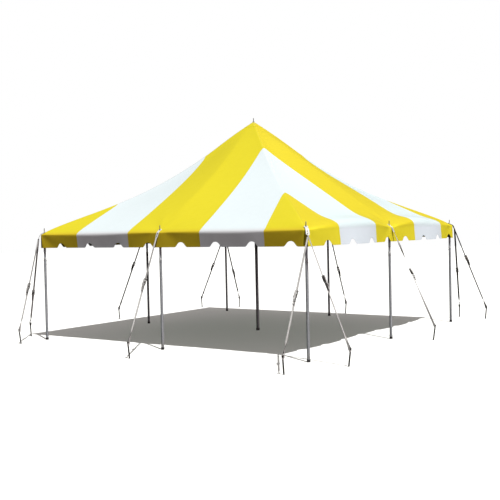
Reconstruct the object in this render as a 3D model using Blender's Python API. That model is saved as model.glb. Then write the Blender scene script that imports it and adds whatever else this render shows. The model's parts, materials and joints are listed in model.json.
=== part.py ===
"""Marquee tent: a striped pole tent on a square plan, seen from ground level up.

One centre pole lifts the peak, eight side poles carry the eave, and twelve ratchet guys
pull the pole tops outwards to twelve stakes. Metres, +Z up, origin at the centre of the
centre pole's foot. The front is -Y and the right is +X.
"""

import math

import bmesh
import bpy
from mathutils import Matrix, Vector

# Plan and heights
SIDE = 6.096            # spacing of the corner poles, twenty feet
HALF = SIDE / 2
PEAK_Z = 4.372          # top of the fabric, carried to a point at the centre pole
EAVE_Z = 2.150          # top of the fabric over a side pole's pin
ROOF_SAG = 0.20         # deepest sag of the roof below a straight slope
SAG_NEAR_PEAK = 1.5     # how fast the sag grows out from the peak
SAG_NEAR_EAVE = 1.7     # and how fast it fades at the eave
EAVE_DIP = 0.030        # sag of the eave between two poles
EAVE_OVERHANG = 0.060   # from the pole line to the eave's edge
GAP = 0.0003            # between pieces that touch
SEAT = 0.0005           # between a rounded or tilted piece and what it bears on

# Fabric
ROOF_THICKNESS = 0.006      # measured vertically
VALANCE_THICKNESS = 0.004
VALANCE_INSET = 0.001       # from the eave's edge to the valance's outer face
VALANCE_BOTTOM = 1.840
NOTCH_HEIGHT = 0.087
NOTCH_WIDTH = 0.270
NOTCH_FLATNESS = 1.35       # above 1 the top of a notch is flatter than a cosine
NOTCHES = 8                 # along one side
NOTCH_SHIFT = 0.110         # the scallops start this far in from a side's left end
NOTCH_STEPS = [-1.0, -0.75, -0.5, -0.25, 0.25, 0.5, 0.75, 1.0]  # shares of half a notch
HEM_STEP = 0.006            # the shortest step along the hem
CENTRE_STRIPE = 0.820       # half the width of the middle yellow panel
CORNER_STRIPE = 2.225       # where the yellow corner panel starts
CROWN_HALF = 0.150          # the doubled patch round the peak
CROWN_THICKNESS = 0.003
PEAK_HOLE = 0.012           # half the width of the opening for the centre pole's pin
PIN_HOLE = 0.012            # radius of the eave's opening for a side pole's pin
PIN_HOLE_CUT = 0.200        # height of the cutter that makes it

# Poles
FOOT_RADIUS = 0.0300
FOOT_HEIGHT = 0.045
TUBE_RADIUS = 0.0254        # two inch tube
INNER_TUBE_RADIUS = 0.0222
JOINT_Z = 1.650             # where the inner tube leaves the outer one
COLLAR_RADIUS = 0.0285
COLLAR_HEIGHT = 0.030
CHAMFER = 0.003
CAP_RADIUS = 0.0280         # the domed plug under the fabric
CAP_SKIRT = 0.036
PIN_RADIUS = 0.008
PIN_TOP = 2.240
PIN_POINT = 0.012           # length of the pin's taper
PIN_TIP_RADIUS = 0.003
CENTRE_FOOT_RADIUS = 0.0370
CENTRE_TUBE_RADIUS = 0.0318
CENTRE_NECK_RADIUS = 0.0275
CENTRE_NECK_LENGTH = 0.150
CENTRE_BORE_END = 0.010     # from the neck's top to the end of the bore round it
CENTRE_JOINT_Z = 2.200
CENTRE_CAP_RADIUS = 0.037
CENTRE_PIN_TOP = 4.447
POLE_SIDES = 12

# Guys: eye, webbing, ratchet and the loop round the stake
EYE_RADIUS = 0.034
EYE_HOLE = 0.015
EYE_THICKNESS = 0.0045
EYE_SIDES = 10
STRAP_WIDTH = 0.025
STRAP_THICKNESS = 0.0024    # the lower strap is doubled
TAB_WIDTH = 0.0262          # the strap's sewn end, folded round the eye
TAB_THICKNESS = 0.0040
LOWER_STRAP_WIDTH = 0.0240  # drawn in a little by its own pull
STRAP_LAP = 0.006           # from a strap's end into the piece it is sewn to
STRAP_START = 0.019         # from the pin's axis, inside the eye
PAST_EDGE = 0.012           # from the eave's edge to where the strap turns down
LOOP_THICKNESS = 0.003
LOOP_HEIGHT = 0.030
LOOP_BELOW_TOP = 0.040      # from the stake's top to the middle of the loop
RATCHET_LENGTH = 0.130
RATCHET_DEPTH = 0.024
PLATE_THICKNESS = 0.003
PLATE_OFFSET = 0.0165       # from the strap's middle to a side plate
HANDLE_OFFSET = 0.0210
HANDLE_LENGTH = 0.115
HANDLE_BACK = 0.006         # the handle's reach behind the strap
HANDLE_FRONT = 0.024        # and in front of it
SPOOL_RADIUS = 0.0085
SPOOL_FROM_END = 0.025
BAR_RADIUS = 0.0045
BAR_FROM_END = 0.012
GRIP_RADIUS = 0.006
GRIP_INSET = 0.004          # from the handle's front edge to the grip's axis
BAR_SIDES = 6

# Stakes
STAKE_RADIUS = 0.0127
STAKE_TOP = 0.285           # height of the head above the ground
STAKE_HEAD_RADIUS = 0.0185
STAKE_HEAD_HEIGHT = 0.012
STAKE_LEAN = math.radians(8.0)      # the head leans away from the tent
STAKE_SIDES = 8

# Distances out from the peak at which rings cross the roof, and distances from the
# middle of a side at which columns run down it. The stripe edges are among them.
RINGS = [PEAK_HOLE, CROWN_HALF, 0.41, CENTRE_STRIPE, 1.17, 1.524, 1.87, CORNER_STRIPE,
         2.62, HALF - EAVE_OVERHANG, HALF + EAVE_OVERHANG]
COLUMNS = [0.05, CENTRE_STRIPE, 1.524, CORNER_STRIPE, HALF - EAVE_OVERHANG]

SIDES = ["front", "right", "back", "left"]
POLES = {
    "front_right": (1, -1), "right": (1, 0), "back_right": (1, 1), "back": (0, 1),
    "back_left": (-1, 1), "left": (-1, 0), "front_left": (-1, -1), "front": (0, -1),
}

# For each pole, its guys: where the stake stands on the ground, and how far down the
# strap its ratchet sits. The first guy's eye lies under the second's.
GUYS = {
    "front_right": [((3.30, -4.18), 0.50), ((3.81, -3.13), 0.39)],
    "right": [((3.82, 0.18), 0.42)],
    "back_right": [((3.52, 3.92), 0.36), ((2.86, 4.06), 0.52)],
    "back": [((0.09, 3.70), 0.52)],
    "back_left": [((-3.33, 3.99), 0.58), ((-4.32, 3.62), 0.48)],
    "left": [((-4.35, 0.40), 0.38)],
    "front_left": [((-3.77, -2.84), 0.62), ((-3.05, -3.71), 0.52)],
    "front": [((0.17, -4.10), 0.43)],
}


def roof_height(out, along):
    """Top of the fabric at a distance out from the peak and along a side. It falls
    straight under the crown patch and sags beyond it."""
    if out < CROWN_HALF:
        return PEAK_Z - (PEAK_Z - roof_height(CROWN_HALF, 0)) * out / CROWN_HALF
    u = out / HALF
    straight = PEAK_Z - (PEAK_Z - EAVE_Z) * u
    rise, fade = SAG_NEAR_PEAK, SAG_NEAR_EAVE
    deepest = rise ** rise * fade ** fade / (rise + fade) ** (rise + fade)
    sag = ROOF_SAG * u ** rise * max(0.0, 1 - u) ** fade / deepest
    dip = EAVE_DIP * u ** 3 * math.sin(math.pi * along / out) ** 2
    return straight - sag - dip


def fall_between(inner, outer):
    """The fall of the fabric from one ring to another, for each metre out."""
    return (roof_height(inner, 0) - roof_height(outer, 0)) / (outer - inner)


EAVE_EDGE = RINGS[-1]
EAVE_FALL = fall_between(RINGS[-2], EAVE_EDGE)
PEAK_FALL = fall_between(RINGS[0], CROWN_HALF)
PIN_FABRIC_Z = roof_height(EAVE_EDGE, 0) + EAVE_FALL * EAVE_OVERHANG


def clear_scene():
    for thing in list(bpy.data.objects):
        bpy.data.objects.remove(thing, do_unlink=True)


def make_material(name, colour, roughness, metallic=0.0):
    material = bpy.data.materials.new(name)
    material.use_nodes = True
    shader = material.node_tree.nodes["Principled BSDF"]
    shader.inputs["Base Color"].default_value = (*colour, 1.0)
    shader.inputs["Roughness"].default_value = roughness
    shader.inputs["Metallic"].default_value = metallic
    material.diffuse_color = (*colour, 1.0)
    return material


def finish_mesh(bm, name, place=None, slot=None):
    """Turn a bmesh into a mesh, moved to its place and set to one material slot."""
    if place is not None:
        bm.transform(place)
    if slot is not None:
        for face in bm.faces:
            face.material_index = slot
    bmesh.ops.recalc_face_normals(bm, faces=bm.faces)
    mesh = bpy.data.meshes.new(name)
    bm.to_mesh(mesh)
    bm.free()
    return mesh


def add_object(name, mesh, materials, place=(0, 0, 0), turn=0.0):
    if not mesh.materials:
        for material in materials:
            mesh.materials.append(material)
    thing = bpy.data.objects.new(name, mesh)
    bpy.context.scene.collection.objects.link(thing)
    thing.location = place
    thing.rotation_euler = (0, 0, turn)
    return thing


def shade_round(mesh, angle=35):
    mesh.shade_smooth()
    mesh.set_sharp_from_angle(angle=math.radians(angle))


def grown_verts(grown):
    return [part for part in grown["geom"] if isinstance(part, bmesh.types.BMVert)]


def fill_ends(bm):
    bmesh.ops.holes_fill(bm, edges=[edge for edge in bm.edges if edge.is_boundary], sides=0)


def turn_profile(bm, profile, sides, ring=False):
    """Turn (radius, height) points about Z. A ring's profile closes on itself, and any
    other solid has its two ends closed by flat faces."""
    verts = [bm.verts.new((radius, 0, height)) for radius, height in profile]
    pairs = list(zip(verts, verts[1:]))
    if ring:
        pairs.append((verts[-1], verts[0]))
    edges = [bm.edges.new(pair) for pair in pairs]
    bmesh.ops.spin(bm, geom=verts + edges, cent=(0, 0, 0), axis=(0, 0, 1),
                   angle=2 * math.pi, steps=sides, use_merge=True)
    bmesh.ops.remove_doubles(bm, verts=bm.verts, dist=1e-6)
    fill_ends(bm)


def turned_mesh(name, profile, sides, ring=False, place=None, slot=None):
    bm = bmesh.new()
    turn_profile(bm, profile, sides, ring)
    return finish_mesh(bm, name, place, slot)


def box_mesh(name, low, high, place, slot):
    bm = bmesh.new()
    size = [b - a for a, b in zip(low, high)]
    middle = [(a + b) / 2 for a, b in zip(low, high)]
    shape = Matrix.Translation(middle) @ Matrix.Diagonal((*size, 1))
    bmesh.ops.create_cube(bm, size=1.0, matrix=shape)
    return finish_mesh(bm, name, place, slot)


def crossbar_mesh(name, radius, half_length, x, z, place, slot):
    """A round bar across the strap."""
    bm = bmesh.new()
    lie = Matrix.Translation((x, 0, z)) @ Matrix.Rotation(math.pi / 2, 4, "X")
    bmesh.ops.create_cone(bm, cap_ends=True, segments=BAR_SIDES, radius1=radius, radius2=radius,
                          depth=2 * half_length, matrix=lie)
    return finish_mesh(bm, name, place, slot)


def fuse(name, pieces, materials):
    """Join overlapping closed meshes into one object with one closed body."""
    body = add_object(name, pieces[0], materials)
    others = bpy.data.collections.new(f"{name}_pieces")
    for number, piece in enumerate(pieces[1:]):
        others.objects.link(add_object(f"{name}_piece_{number}", piece, materials))
    join = body.modifiers.new("join", "BOOLEAN")
    join.operation = "UNION"
    join.operand_type = "COLLECTION"
    join.collection = others
    depsgraph = bpy.context.evaluated_depsgraph_get()
    joined = bpy.data.meshes.new_from_object(body.evaluated_get(depsgraph))
    body.modifiers.clear()
    body.data = joined
    for helper in list(others.objects):
        bpy.data.objects.remove(helper, do_unlink=True)
    bpy.data.collections.remove(others)
    return body


def stripe_of(along):
    """0 on the yellow panels and 1 on the white ones."""
    return 1 if CENTRE_STRIPE < abs(along) < CORNER_STRIPE else 0


def roof_side_mesh():
    """One quarter of the roof: cut along rings and columns while flat, then raised."""
    bm = bmesh.new()
    hole = RINGS[0]
    plan = [(GAP - hole, -hole), (GAP - EAVE_EDGE, -EAVE_EDGE),
            (EAVE_EDGE - GAP, -EAVE_EDGE), (hole - GAP, -hole)]
    bm.faces.new([bm.verts.new((x, y, 0)) for x, y in plan])
    cuts = [((0, -ring, 0), (0, 1, 0)) for ring in RINGS[1:-1]]
    cuts += [((sign * column, 0, 0), (1, 0, 0)) for column in COLUMNS for sign in (-1, 1)]
    for point, normal in cuts:
        bmesh.ops.bisect_plane(bm, geom=bm.verts[:] + bm.edges[:] + bm.faces[:],
                               plane_co=point, plane_no=normal)
    bmesh.ops.remove_doubles(bm, verts=bm.verts, dist=2 * GAP)
    for vert in bm.verts:
        vert.co.z = roof_height(-vert.co.y, vert.co.x)
    for face in bm.faces:
        face.material_index = stripe_of(face.calc_center_median().x)
        face.smooth = True
    under = bmesh.ops.extrude_face_region(bm, geom=bm.faces[:], use_keep_orig=True)
    bmesh.ops.translate(bm, vec=(0, 0, -ROOF_THICKNESS), verts=grown_verts(under))
    return finish_mesh(bm, "roof_side")


def pin_holes_mesh():
    """Upright cutters where three pole pins pass the front eave."""
    bm = bmesh.new()
    for place in (-HALF, 0.0, HALF):
        bmesh.ops.create_cone(bm, cap_ends=True, segments=POLE_SIDES, radius1=PIN_HOLE,
                              radius2=PIN_HOLE, depth=PIN_HOLE_CUT,
                              matrix=Matrix.Translation((place, -HALF, EAVE_Z)))
    return finish_mesh(bm, "pin_holes")


def make_roof(yellow, white):
    panel_mesh = roof_side_mesh()
    holes_mesh = pin_holes_mesh()
    for number, side in enumerate(SIDES):
        turn = number * math.pi / 2
        panel = add_object(f"{side}_roof", panel_mesh, [yellow, white], turn=turn)
        holes = add_object(f"{side}_pin_holes", holes_mesh, [], turn=turn)
        holes.hide_render = True
        holes.display_type = "WIRE"
        cut = panel.modifiers.new("pin_holes", "BOOLEAN")
        cut.operation = "DIFFERENCE"
        cut.object = holes


def eave_edge_height(along):
    """Top of the fabric at the eave's edge, which is straight between two columns."""
    stops = [0.0] + COLUMNS + [EAVE_EDGE]
    place = abs(along)
    far = next(number for number, stop in enumerate(stops) if stop >= place)
    near = max(far - 1, 0)
    share = (place - stops[near]) / (stops[far] - stops[near]) if far else 0.0
    inner_end = roof_height(EAVE_EDGE, stops[near])
    outer_end = roof_height(EAVE_EDGE, stops[far])
    return (1 - share) * inner_end + share * outer_end


def notch_lift(along):
    """How far the scalloped hem rises above its lowest line."""
    pitch = SIDE / NOTCHES
    from_notch = abs((along + HALF - NOTCH_SHIFT) % pitch - pitch / 2)
    share = from_notch / (NOTCH_WIDTH / 2)
    if share >= 1 or abs(along) > HALF:
        return 0.0
    return NOTCH_HEIGHT * 0.5 * (1 + math.cos(math.pi * share ** NOTCH_FLATNESS))


def hem_stations():
    """Places along one side where the hem, the eave or a stripe changes."""
    pitch = SIDE / NOTCHES
    wanted = [0.0]
    wanted += [sign * column for column in COLUMNS for sign in (-1, 1)]
    for number in range(NOTCHES):
        middle = -HALF + NOTCH_SHIFT + (number + 0.5) * pitch
        wanted += [middle + step * NOTCH_WIDTH / 2 for step in NOTCH_STEPS]
    kept = []
    for place in sorted(wanted):
        if not kept or place - kept[-1] > HEM_STEP:
            kept.append(place)
    return kept


def valance_mesh():
    outer = EAVE_EDGE - VALANCE_INSET
    inner = outer - VALANCE_THICKNESS
    bm = bmesh.new()
    columns = []
    for place in [GAP - outer] + hem_stations() + [outer - GAP]:
        top = eave_edge_height(place) - ROOF_THICKNESS - GAP
        low = VALANCE_BOTTOM + notch_lift(place)
        columns.append([bm.verts.new((place, -outer, z)) for z in (low, top)])
    for left, right in zip(columns, columns[1:]):
        face = bm.faces.new((left[0], right[0], right[1], left[1]))
        face.material_index = stripe_of(face.calc_center_median().x)
    back = bmesh.ops.extrude_face_region(bm, geom=bm.faces[:], use_keep_orig=True)
    for vert in grown_verts(back):
        vert.co.y = -inner
        vert.co.x = max(GAP - inner, min(inner - GAP, vert.co.x))
    return finish_mesh(bm, "valance")


def make_valances(yellow, white):
    mesh = valance_mesh()
    for number, side in enumerate(SIDES):
        add_object(f"{side}_valance", mesh, [yellow, white], turn=number * math.pi / 2)


def make_crown(yellow):
    """The doubled patch that lies on the fabric round the peak."""
    bm = bmesh.new()
    rings = []
    for reach in (PEAK_HOLE, CROWN_HALF):
        z = PEAK_Z - PEAK_FALL * reach + SEAT
        corners = [(-reach, -reach), (reach, -reach), (reach, reach), (-reach, reach)]
        rings.append([bm.verts.new((x, y, z)) for x, y in corners])
    for i in range(4):
        j = (i + 1) % 4
        bm.faces.new((rings[0][i], rings[0][j], rings[1][j], rings[1][i]))
    top = bmesh.ops.extrude_face_region(bm, geom=bm.faces[:], use_keep_orig=True)
    bmesh.ops.translate(bm, vec=(0, 0, CROWN_THICKNESS), verts=grown_verts(top))
    add_object("crown_patch", finish_mesh(bm, "crown_patch"), [yellow])


def dome_profile(radius, centre_z, to_radius, steps=3):
    """Points of an arc from the dome's side up to where the pin leaves it."""
    last = math.acos(to_radius / radius)
    angles = [last * i / steps for i in range(steps + 1)]
    return [(radius * math.cos(a), centre_z + radius * math.sin(a)) for a in angles]


def pin_profile(top):
    return [(PIN_RADIUS, top - PIN_POINT), (PIN_TIP_RADIUS, top)]


def dome_centre(fabric_z, fall, radius):
    """Height at which a dome just clears the fabric's underside on every facet."""
    return fabric_z - ROOF_THICKNESS - (radius + SEAT) * math.sqrt(1 + fall ** 2)


def make_side_poles(steel):
    """An outer tube on a foot, an inner tube above the joint, a domed cap and a pin."""
    dome_z = dome_centre(PIN_FABRIC_Z, EAVE_FALL, CAP_RADIUS)
    skirt_z = dome_z - CAP_SKIRT
    profile = [(FOOT_RADIUS, 0), (FOOT_RADIUS, FOOT_HEIGHT - CHAMFER), (TUBE_RADIUS, FOOT_HEIGHT),
               (TUBE_RADIUS, JOINT_Z - COLLAR_HEIGHT - CHAMFER),
               (COLLAR_RADIUS, JOINT_Z - COLLAR_HEIGHT), (COLLAR_RADIUS, JOINT_Z),
               (INNER_TUBE_RADIUS, JOINT_Z + CHAMFER), (INNER_TUBE_RADIUS, skirt_z - CHAMFER),
               (CAP_RADIUS, skirt_z)]
    profile += dome_profile(CAP_RADIUS, dome_z, PIN_RADIUS) + pin_profile(PIN_TOP)
    mesh = turned_mesh("side_pole", profile, POLE_SIDES)
    shade_round(mesh)
    for name, (x, y) in POLES.items():
        add_object(f"{name}_pole", mesh, [steel], place=(x * HALF, y * HALF, 0))


def make_centre_pole(steel):
    """Two sections: the lower one's neck slides up into the upper one's bore."""
    neck_top = CENTRE_JOINT_Z + CENTRE_NECK_LENGTH
    lower = [(CENTRE_FOOT_RADIUS, 0), (CENTRE_FOOT_RADIUS, FOOT_HEIGHT),
             (CENTRE_TUBE_RADIUS, FOOT_HEIGHT + CHAMFER), (CENTRE_TUBE_RADIUS, CENTRE_JOINT_Z),
             (CENTRE_NECK_RADIUS, CENTRE_JOINT_Z), (CENTRE_NECK_RADIUS, neck_top)]
    mesh = turned_mesh("centre_pole_lower", lower, POLE_SIDES)
    shade_round(mesh)
    add_object("centre_pole_lower", mesh, [steel])

    dome_z = dome_centre(PEAK_Z, PEAK_FALL, CENTRE_CAP_RADIUS)
    skirt_z = dome_z - CAP_SKIRT
    bore = CENTRE_NECK_RADIUS + SEAT
    upper = [(bore, neck_top + CENTRE_BORE_END), (bore, CENTRE_JOINT_Z + GAP),
             (CENTRE_TUBE_RADIUS, CENTRE_JOINT_Z + GAP), (CENTRE_TUBE_RADIUS, skirt_z - CHAMFER),
             (CENTRE_CAP_RADIUS, skirt_z)]
    upper += dome_profile(CENTRE_CAP_RADIUS, dome_z, PIN_RADIUS) + pin_profile(CENTRE_PIN_TOP)
    mesh = turned_mesh("centre_pole_upper", upper, POLE_SIDES)
    shade_round(mesh)
    add_object("centre_pole_upper", mesh, [steel])


def stake_point(along_axis, aside=0.0):
    """A point (x, z) on a leaning stake: along its axis, and aside towards the tent."""
    x = along_axis * math.sin(STAKE_LEAN) - aside * math.cos(STAKE_LEAN)
    z = along_axis * math.cos(STAKE_LEAN) + aside * math.sin(STAKE_LEAN)
    return x, z


def stake_length():
    return STAKE_TOP / math.cos(STAKE_LEAN)


def stake_mesh():
    """The part above the ground, cut level where it goes in."""
    length = stake_length()
    head = length - STAKE_HEAD_HEIGHT
    profile = [(STAKE_RADIUS, -STAKE_HEAD_HEIGHT), (STAKE_RADIUS, head), (STAKE_HEAD_RADIUS, head),
               (STAKE_HEAD_RADIUS, length - CHAMFER), (STAKE_HEAD_RADIUS - CHAMFER, length)]
    bm = bmesh.new()
    turn_profile(bm, profile, STAKE_SIDES)
    bm.transform(Matrix.Rotation(STAKE_LEAN, 4, "Y"))
    bmesh.ops.bisect_plane(bm, geom=bm.verts[:] + bm.edges[:] + bm.faces[:], plane_co=(0, 0, 0),
                           plane_no=(0, 0, -1), clear_outer=True)
    fill_ends(bm)
    mesh = finish_mesh(bm, "stake")
    shade_round(mesh)
    return mesh


def eye_place(fall, fall_turn, stacked):
    """Where a guy's eye lies: on the fabric round the pin, tilted with it. Its X runs
    down the guy and its Z is the eye's own axis."""
    lift = SEAT + EYE_THICKNESS / 2 + stacked * (EYE_THICKNESS + GAP)
    down = fall * math.cos(fall_turn)
    run = Vector((1, 0, -down)).normalized()
    up = Vector((down, fall * math.sin(fall_turn), 1)).normalized()
    across = up.cross(run)
    place = Matrix((run, across, up)).transposed().to_4x4()
    place.translation = (0, 0, PIN_FABRIC_Z + lift * math.sqrt(1 + fall ** 2))
    return place


def strap_mesh(name, points, width, thickness):
    """Webbing through points that all lie in the XZ plane."""
    points = [Vector((x, 0, z)) for x, z in points]
    upper, lower = [], []
    for i, point in enumerate(points):
        into = (point - points[i - 1]).normalized() if i else (points[1] - point).normalized()
        out = (points[i + 1] - point).normalized() if i + 1 < len(points) else into
        normal = Vector((-into.z - out.z, 0, into.x + out.x)).normalized()
        reach = thickness / 2 / normal.dot(Vector((-into.z, 0, into.x)))
        upper.append(point + normal * reach)
        lower.append(point - normal * reach)
    bm = bmesh.new()
    half = Vector((0, width / 2, 0))
    edge_face = bm.faces.new([bm.verts.new(p - half) for p in upper + lower[::-1]])
    grown = bmesh.ops.extrude_face_region(bm, geom=[edge_face], use_keep_orig=True)
    bmesh.ops.translate(bm, vec=2 * half, verts=grown_verts(grown))
    return finish_mesh(bm, name, slot=0)


def ratchet_meshes(place):
    """Side plates, spool and bar of the frame, and the handle folded down over it."""
    end = RATCHET_LENGTH / 2
    half = PLATE_THICKNESS / 2
    spool_z = end - SPOOL_FROM_END
    handle_low = spool_z - HANDLE_LENGTH
    grip_x = HANDLE_FRONT - GRIP_INSET
    pieces = []
    for side in (-1, 1):
        middle = side * PLATE_OFFSET
        pieces.append(box_mesh("frame_plate", (-RATCHET_DEPTH / 2, middle - half, -end),
                               (RATCHET_DEPTH / 2, middle + half, end), place, 1))
        middle = side * HANDLE_OFFSET
        pieces.append(box_mesh("handle_plate", (-HANDLE_BACK, middle - half, handle_low),
                               (HANDLE_FRONT, middle + half, spool_z + HANDLE_BACK), place, 1))
    outside = HANDLE_OFFSET + half + GRIP_RADIUS / 2
    bars = [("spool", SPOOL_RADIUS, outside, 0, spool_z),
            ("frame_bar", BAR_RADIUS, PLATE_OFFSET, 0, BAR_FROM_END - end),
            ("grip", GRIP_RADIUS, outside, grip_x, handle_low + 2 * GRIP_RADIUS)]
    for name, radius, half_length, x, z in bars:
        pieces.append(crossbar_mesh(name, radius, half_length, x, z, place, 1))
    return pieces


def make_guy(name, pole, stake, ratchet_share, stacked, materials):
    """One guy from the pin of its pole to its stake, in the upright plane of the two."""
    foot = Vector((pole[0] * HALF, pole[1] * HALF))
    run = Vector(stake) - foot
    turn = math.atan2(run.y, run.x)
    fall = EAVE_FALL / math.hypot(*pole)
    eye = eye_place(fall, math.atan2(pole[1], pole[0]) - turn, stacked)
    beyond = EAVE_OVERHANG / max(abs(math.cos(turn)), abs(math.sin(turn))) + PAST_EDGE
    tab_end = beyond / eye.col[0].x
    half = EYE_THICKNESS / 2
    ring = [(EYE_HOLE, -half), (EYE_RADIUS, -half), (EYE_RADIUS, half), (EYE_HOLE, half)]
    tab = TAB_THICKNESS / 2
    pieces = [turned_mesh("eye", ring, EYE_SIDES, ring=True, place=eye, slot=1),
              box_mesh("tab", (STRAP_START, -TAB_WIDTH / 2, -tab),
                       (tab_end, TAB_WIDTH / 2, tab), eye, 0)]

    inner = STAKE_RADIUS + SEAT
    outer = inner + LOOP_THICKNESS
    tall = LOOP_HEIGHT / 2
    loop_at = stake_length() - LOOP_BELOW_TOP
    loop_x, loop_z = stake_point(loop_at)
    loop_place = Matrix.Translation((run.length + loop_x, 0, loop_z))
    loop_place = loop_place @ Matrix.Rotation(STAKE_LEAN, 4, "Y")
    loop = [(inner, -tall), (outer, -tall), (outer, tall), (inner, tall)]
    pieces.append(turned_mesh("loop", loop, STAKE_SIDES, ring=True, place=loop_place, slot=0))

    top = eye @ Vector((tab_end - TAB_THICKNESS, 0, 0))
    start = Vector((top.x, top.z))
    lap = tall - STRAP_LAP
    meets = [stake_point(loop_at + side * lap, outer) for side in (1, -1)]
    end, foot_end = [Vector((run.length + x, z)) for x, z in meets]
    middle = start.lerp(end, ratchet_share)
    down = (end - start).normalized()
    pieces.append(strap_mesh("upper_strap", [start, middle + down * STRAP_LAP],
                             STRAP_WIDTH, STRAP_THICKNESS))
    pieces.append(strap_mesh("lower_strap", [middle, end, foot_end],
                             LOWER_STRAP_WIDTH, 2 * STRAP_THICKNESS))

    ratchet = Matrix(((-down.y, 0, -down.x), (0, 1, 0), (down.x, 0, -down.y))).to_4x4()
    ratchet.translation = (middle.x, 0, middle.y)
    pieces += ratchet_meshes(ratchet)
    guy = fuse(name, pieces, materials)
    guy.location = (foot.x, foot.y, 0)
    guy.rotation_euler = (0, 0, turn)
    return turn


def make_guys_and_stakes(webbing, zinc, iron):
    mesh = stake_mesh()
    for corner, guys in GUYS.items():
        for number, (stake, ratchet_share) in enumerate(guys):
            suffix = f"_{number + 1}" if len(guys) > 1 else ""
            turn = make_guy(f"{corner}_guy{suffix}", POLES[corner], stake, ratchet_share,
                            number, [webbing, zinc])
            add_object(f"{corner}_stake{suffix}", mesh, [iron], place=(*stake, 0), turn=turn)


def main():
    clear_scene()
    yellow = make_material("yellow_vinyl", (0.88, 0.70, 0.02), 0.45)
    white = make_material("white_vinyl", (0.90, 0.91, 0.92), 0.45)
    steel = make_material("galvanised_steel", (0.42, 0.44, 0.45), 0.42, 0.9)
    webbing = make_material("white_webbing", (0.80, 0.79, 0.76), 0.85)
    zinc = make_material("ratchet_steel", (0.35, 0.34, 0.32), 0.40, 0.9)
    iron = make_material("stake_iron", (0.045, 0.042, 0.040), 0.60, 0.6)
    make_roof(yellow, white)
    make_valances(yellow, white)
    make_crown(yellow)
    make_centre_pole(steel)
    make_side_poles(steel)
    make_guys_and_stakes(webbing, zinc, iron)


main()
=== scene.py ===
import json
import math

import bmesh
import bpy
from bmesh.types import BMEdge, BMFace, BMVert
from mathutils import Matrix, Vector, noise

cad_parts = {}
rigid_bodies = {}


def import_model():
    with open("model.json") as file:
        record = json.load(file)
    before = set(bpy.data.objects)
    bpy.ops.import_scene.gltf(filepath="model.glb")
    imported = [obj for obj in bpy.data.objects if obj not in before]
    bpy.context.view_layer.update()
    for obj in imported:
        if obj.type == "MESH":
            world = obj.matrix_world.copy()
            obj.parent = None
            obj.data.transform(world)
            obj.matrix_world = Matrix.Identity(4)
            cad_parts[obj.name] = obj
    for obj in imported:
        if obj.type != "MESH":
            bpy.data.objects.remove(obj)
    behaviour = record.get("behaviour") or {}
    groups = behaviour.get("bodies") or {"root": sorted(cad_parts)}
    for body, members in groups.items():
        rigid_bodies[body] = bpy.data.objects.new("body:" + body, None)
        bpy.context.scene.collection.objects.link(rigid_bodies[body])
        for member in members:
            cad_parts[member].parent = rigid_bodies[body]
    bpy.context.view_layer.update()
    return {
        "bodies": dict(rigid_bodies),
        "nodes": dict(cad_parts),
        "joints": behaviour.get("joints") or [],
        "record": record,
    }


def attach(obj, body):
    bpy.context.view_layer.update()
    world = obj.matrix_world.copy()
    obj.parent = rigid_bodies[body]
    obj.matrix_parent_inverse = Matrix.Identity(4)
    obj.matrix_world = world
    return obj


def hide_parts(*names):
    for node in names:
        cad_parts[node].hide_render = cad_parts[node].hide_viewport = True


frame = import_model()
print("frame:", len(frame["nodes"]), "nodes")

# metres, +Z up, the front is -Y and the right is +X
tent = {
    "halfSide": 3.048,        # poles stand this far from the middle
    "peak": 4.372,            # fabric carried to a point at the centre pole
    "eave": 2.150,            # fabric over a side pole
    "sag": 0.20,              # deepest sag of a slope
    "sagRise": 1.5,
    "sagFade": 1.7,
    "crownHalf": 0.150,       # the slope runs straight under the peak patch
    "overhang": 0.060,        # eave's edge past the poles
}
poleSpots = {
    "front_right": (1, -1), "right": (1, 0), "back_right": (1, 1), "back": (0, 1),
    "back_left": (-1, 1), "left": (-1, 0), "front_left": (-1, -1), "front": (0, -1),
}
# the stake's spot on the ground, and how far down the strap the ratchet sits
guySpots = {
    "front_right": [((3.30, -4.18), 0.50), ((3.81, -3.13), 0.39)],
    "right": [((3.82, 0.18), 0.42)],
    "back_right": [((3.52, 3.92), 0.36), ((2.86, 4.06), 0.52)],
    "back": [((0.09, 3.70), 0.52)],
    "back_left": [((-3.33, 3.99), 0.58), ((-4.32, 3.62), 0.48)],
    "left": [((-4.35, 0.40), 0.38)],
    "front_left": [((-3.77, -2.84), 0.62), ((-3.05, -3.71), 0.52)],
    "front": [((0.17, -4.10), 0.43)],
}

# degrees, metres and millimetres of lens
camera = {
    "place": (9.826, -14.372, 2.156),
    "azimuth": 34.75,
    "elevation": 1.53,
    "roll": -1.24,
    "lens": 59.8,
    "sensor": 36.0,
    "shift": -0.0012,
}


def axesAt(x, y, z, place):
    # three axes and the place where they meet
    spot = Matrix((x, y, z)).transposed().to_4x4()
    spot.translation = place
    return spot


def placeCamera():
    side, lift, roll = [math.radians(camera[key]) for key in ("azimuth", "elevation", "roll")]
    back = Vector((math.sin(side) * math.cos(lift), -math.cos(side) * math.cos(lift), math.sin(lift)))
    right = Vector((math.cos(side), math.sin(side), 0))
    up = back.cross(right)
    across = math.cos(roll) * right + math.sin(roll) * up
    lensData = bpy.data.cameras.new("camera")
    lensData.lens = camera["lens"]
    lensData.sensor_width = camera["sensor"]
    lensData.shift_x = camera["shift"]
    lensData.clip_end = 200
    viewer = bpy.data.objects.new("camera", lensData)
    viewer.matrix_world = axesAt(across, math.cos(roll) * up - math.sin(roll) * right, back, camera["place"])
    bpy.context.scene.collection.objects.link(viewer)
    bpy.context.scene.camera = viewer


placeCamera()
print("camera placed")


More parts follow.
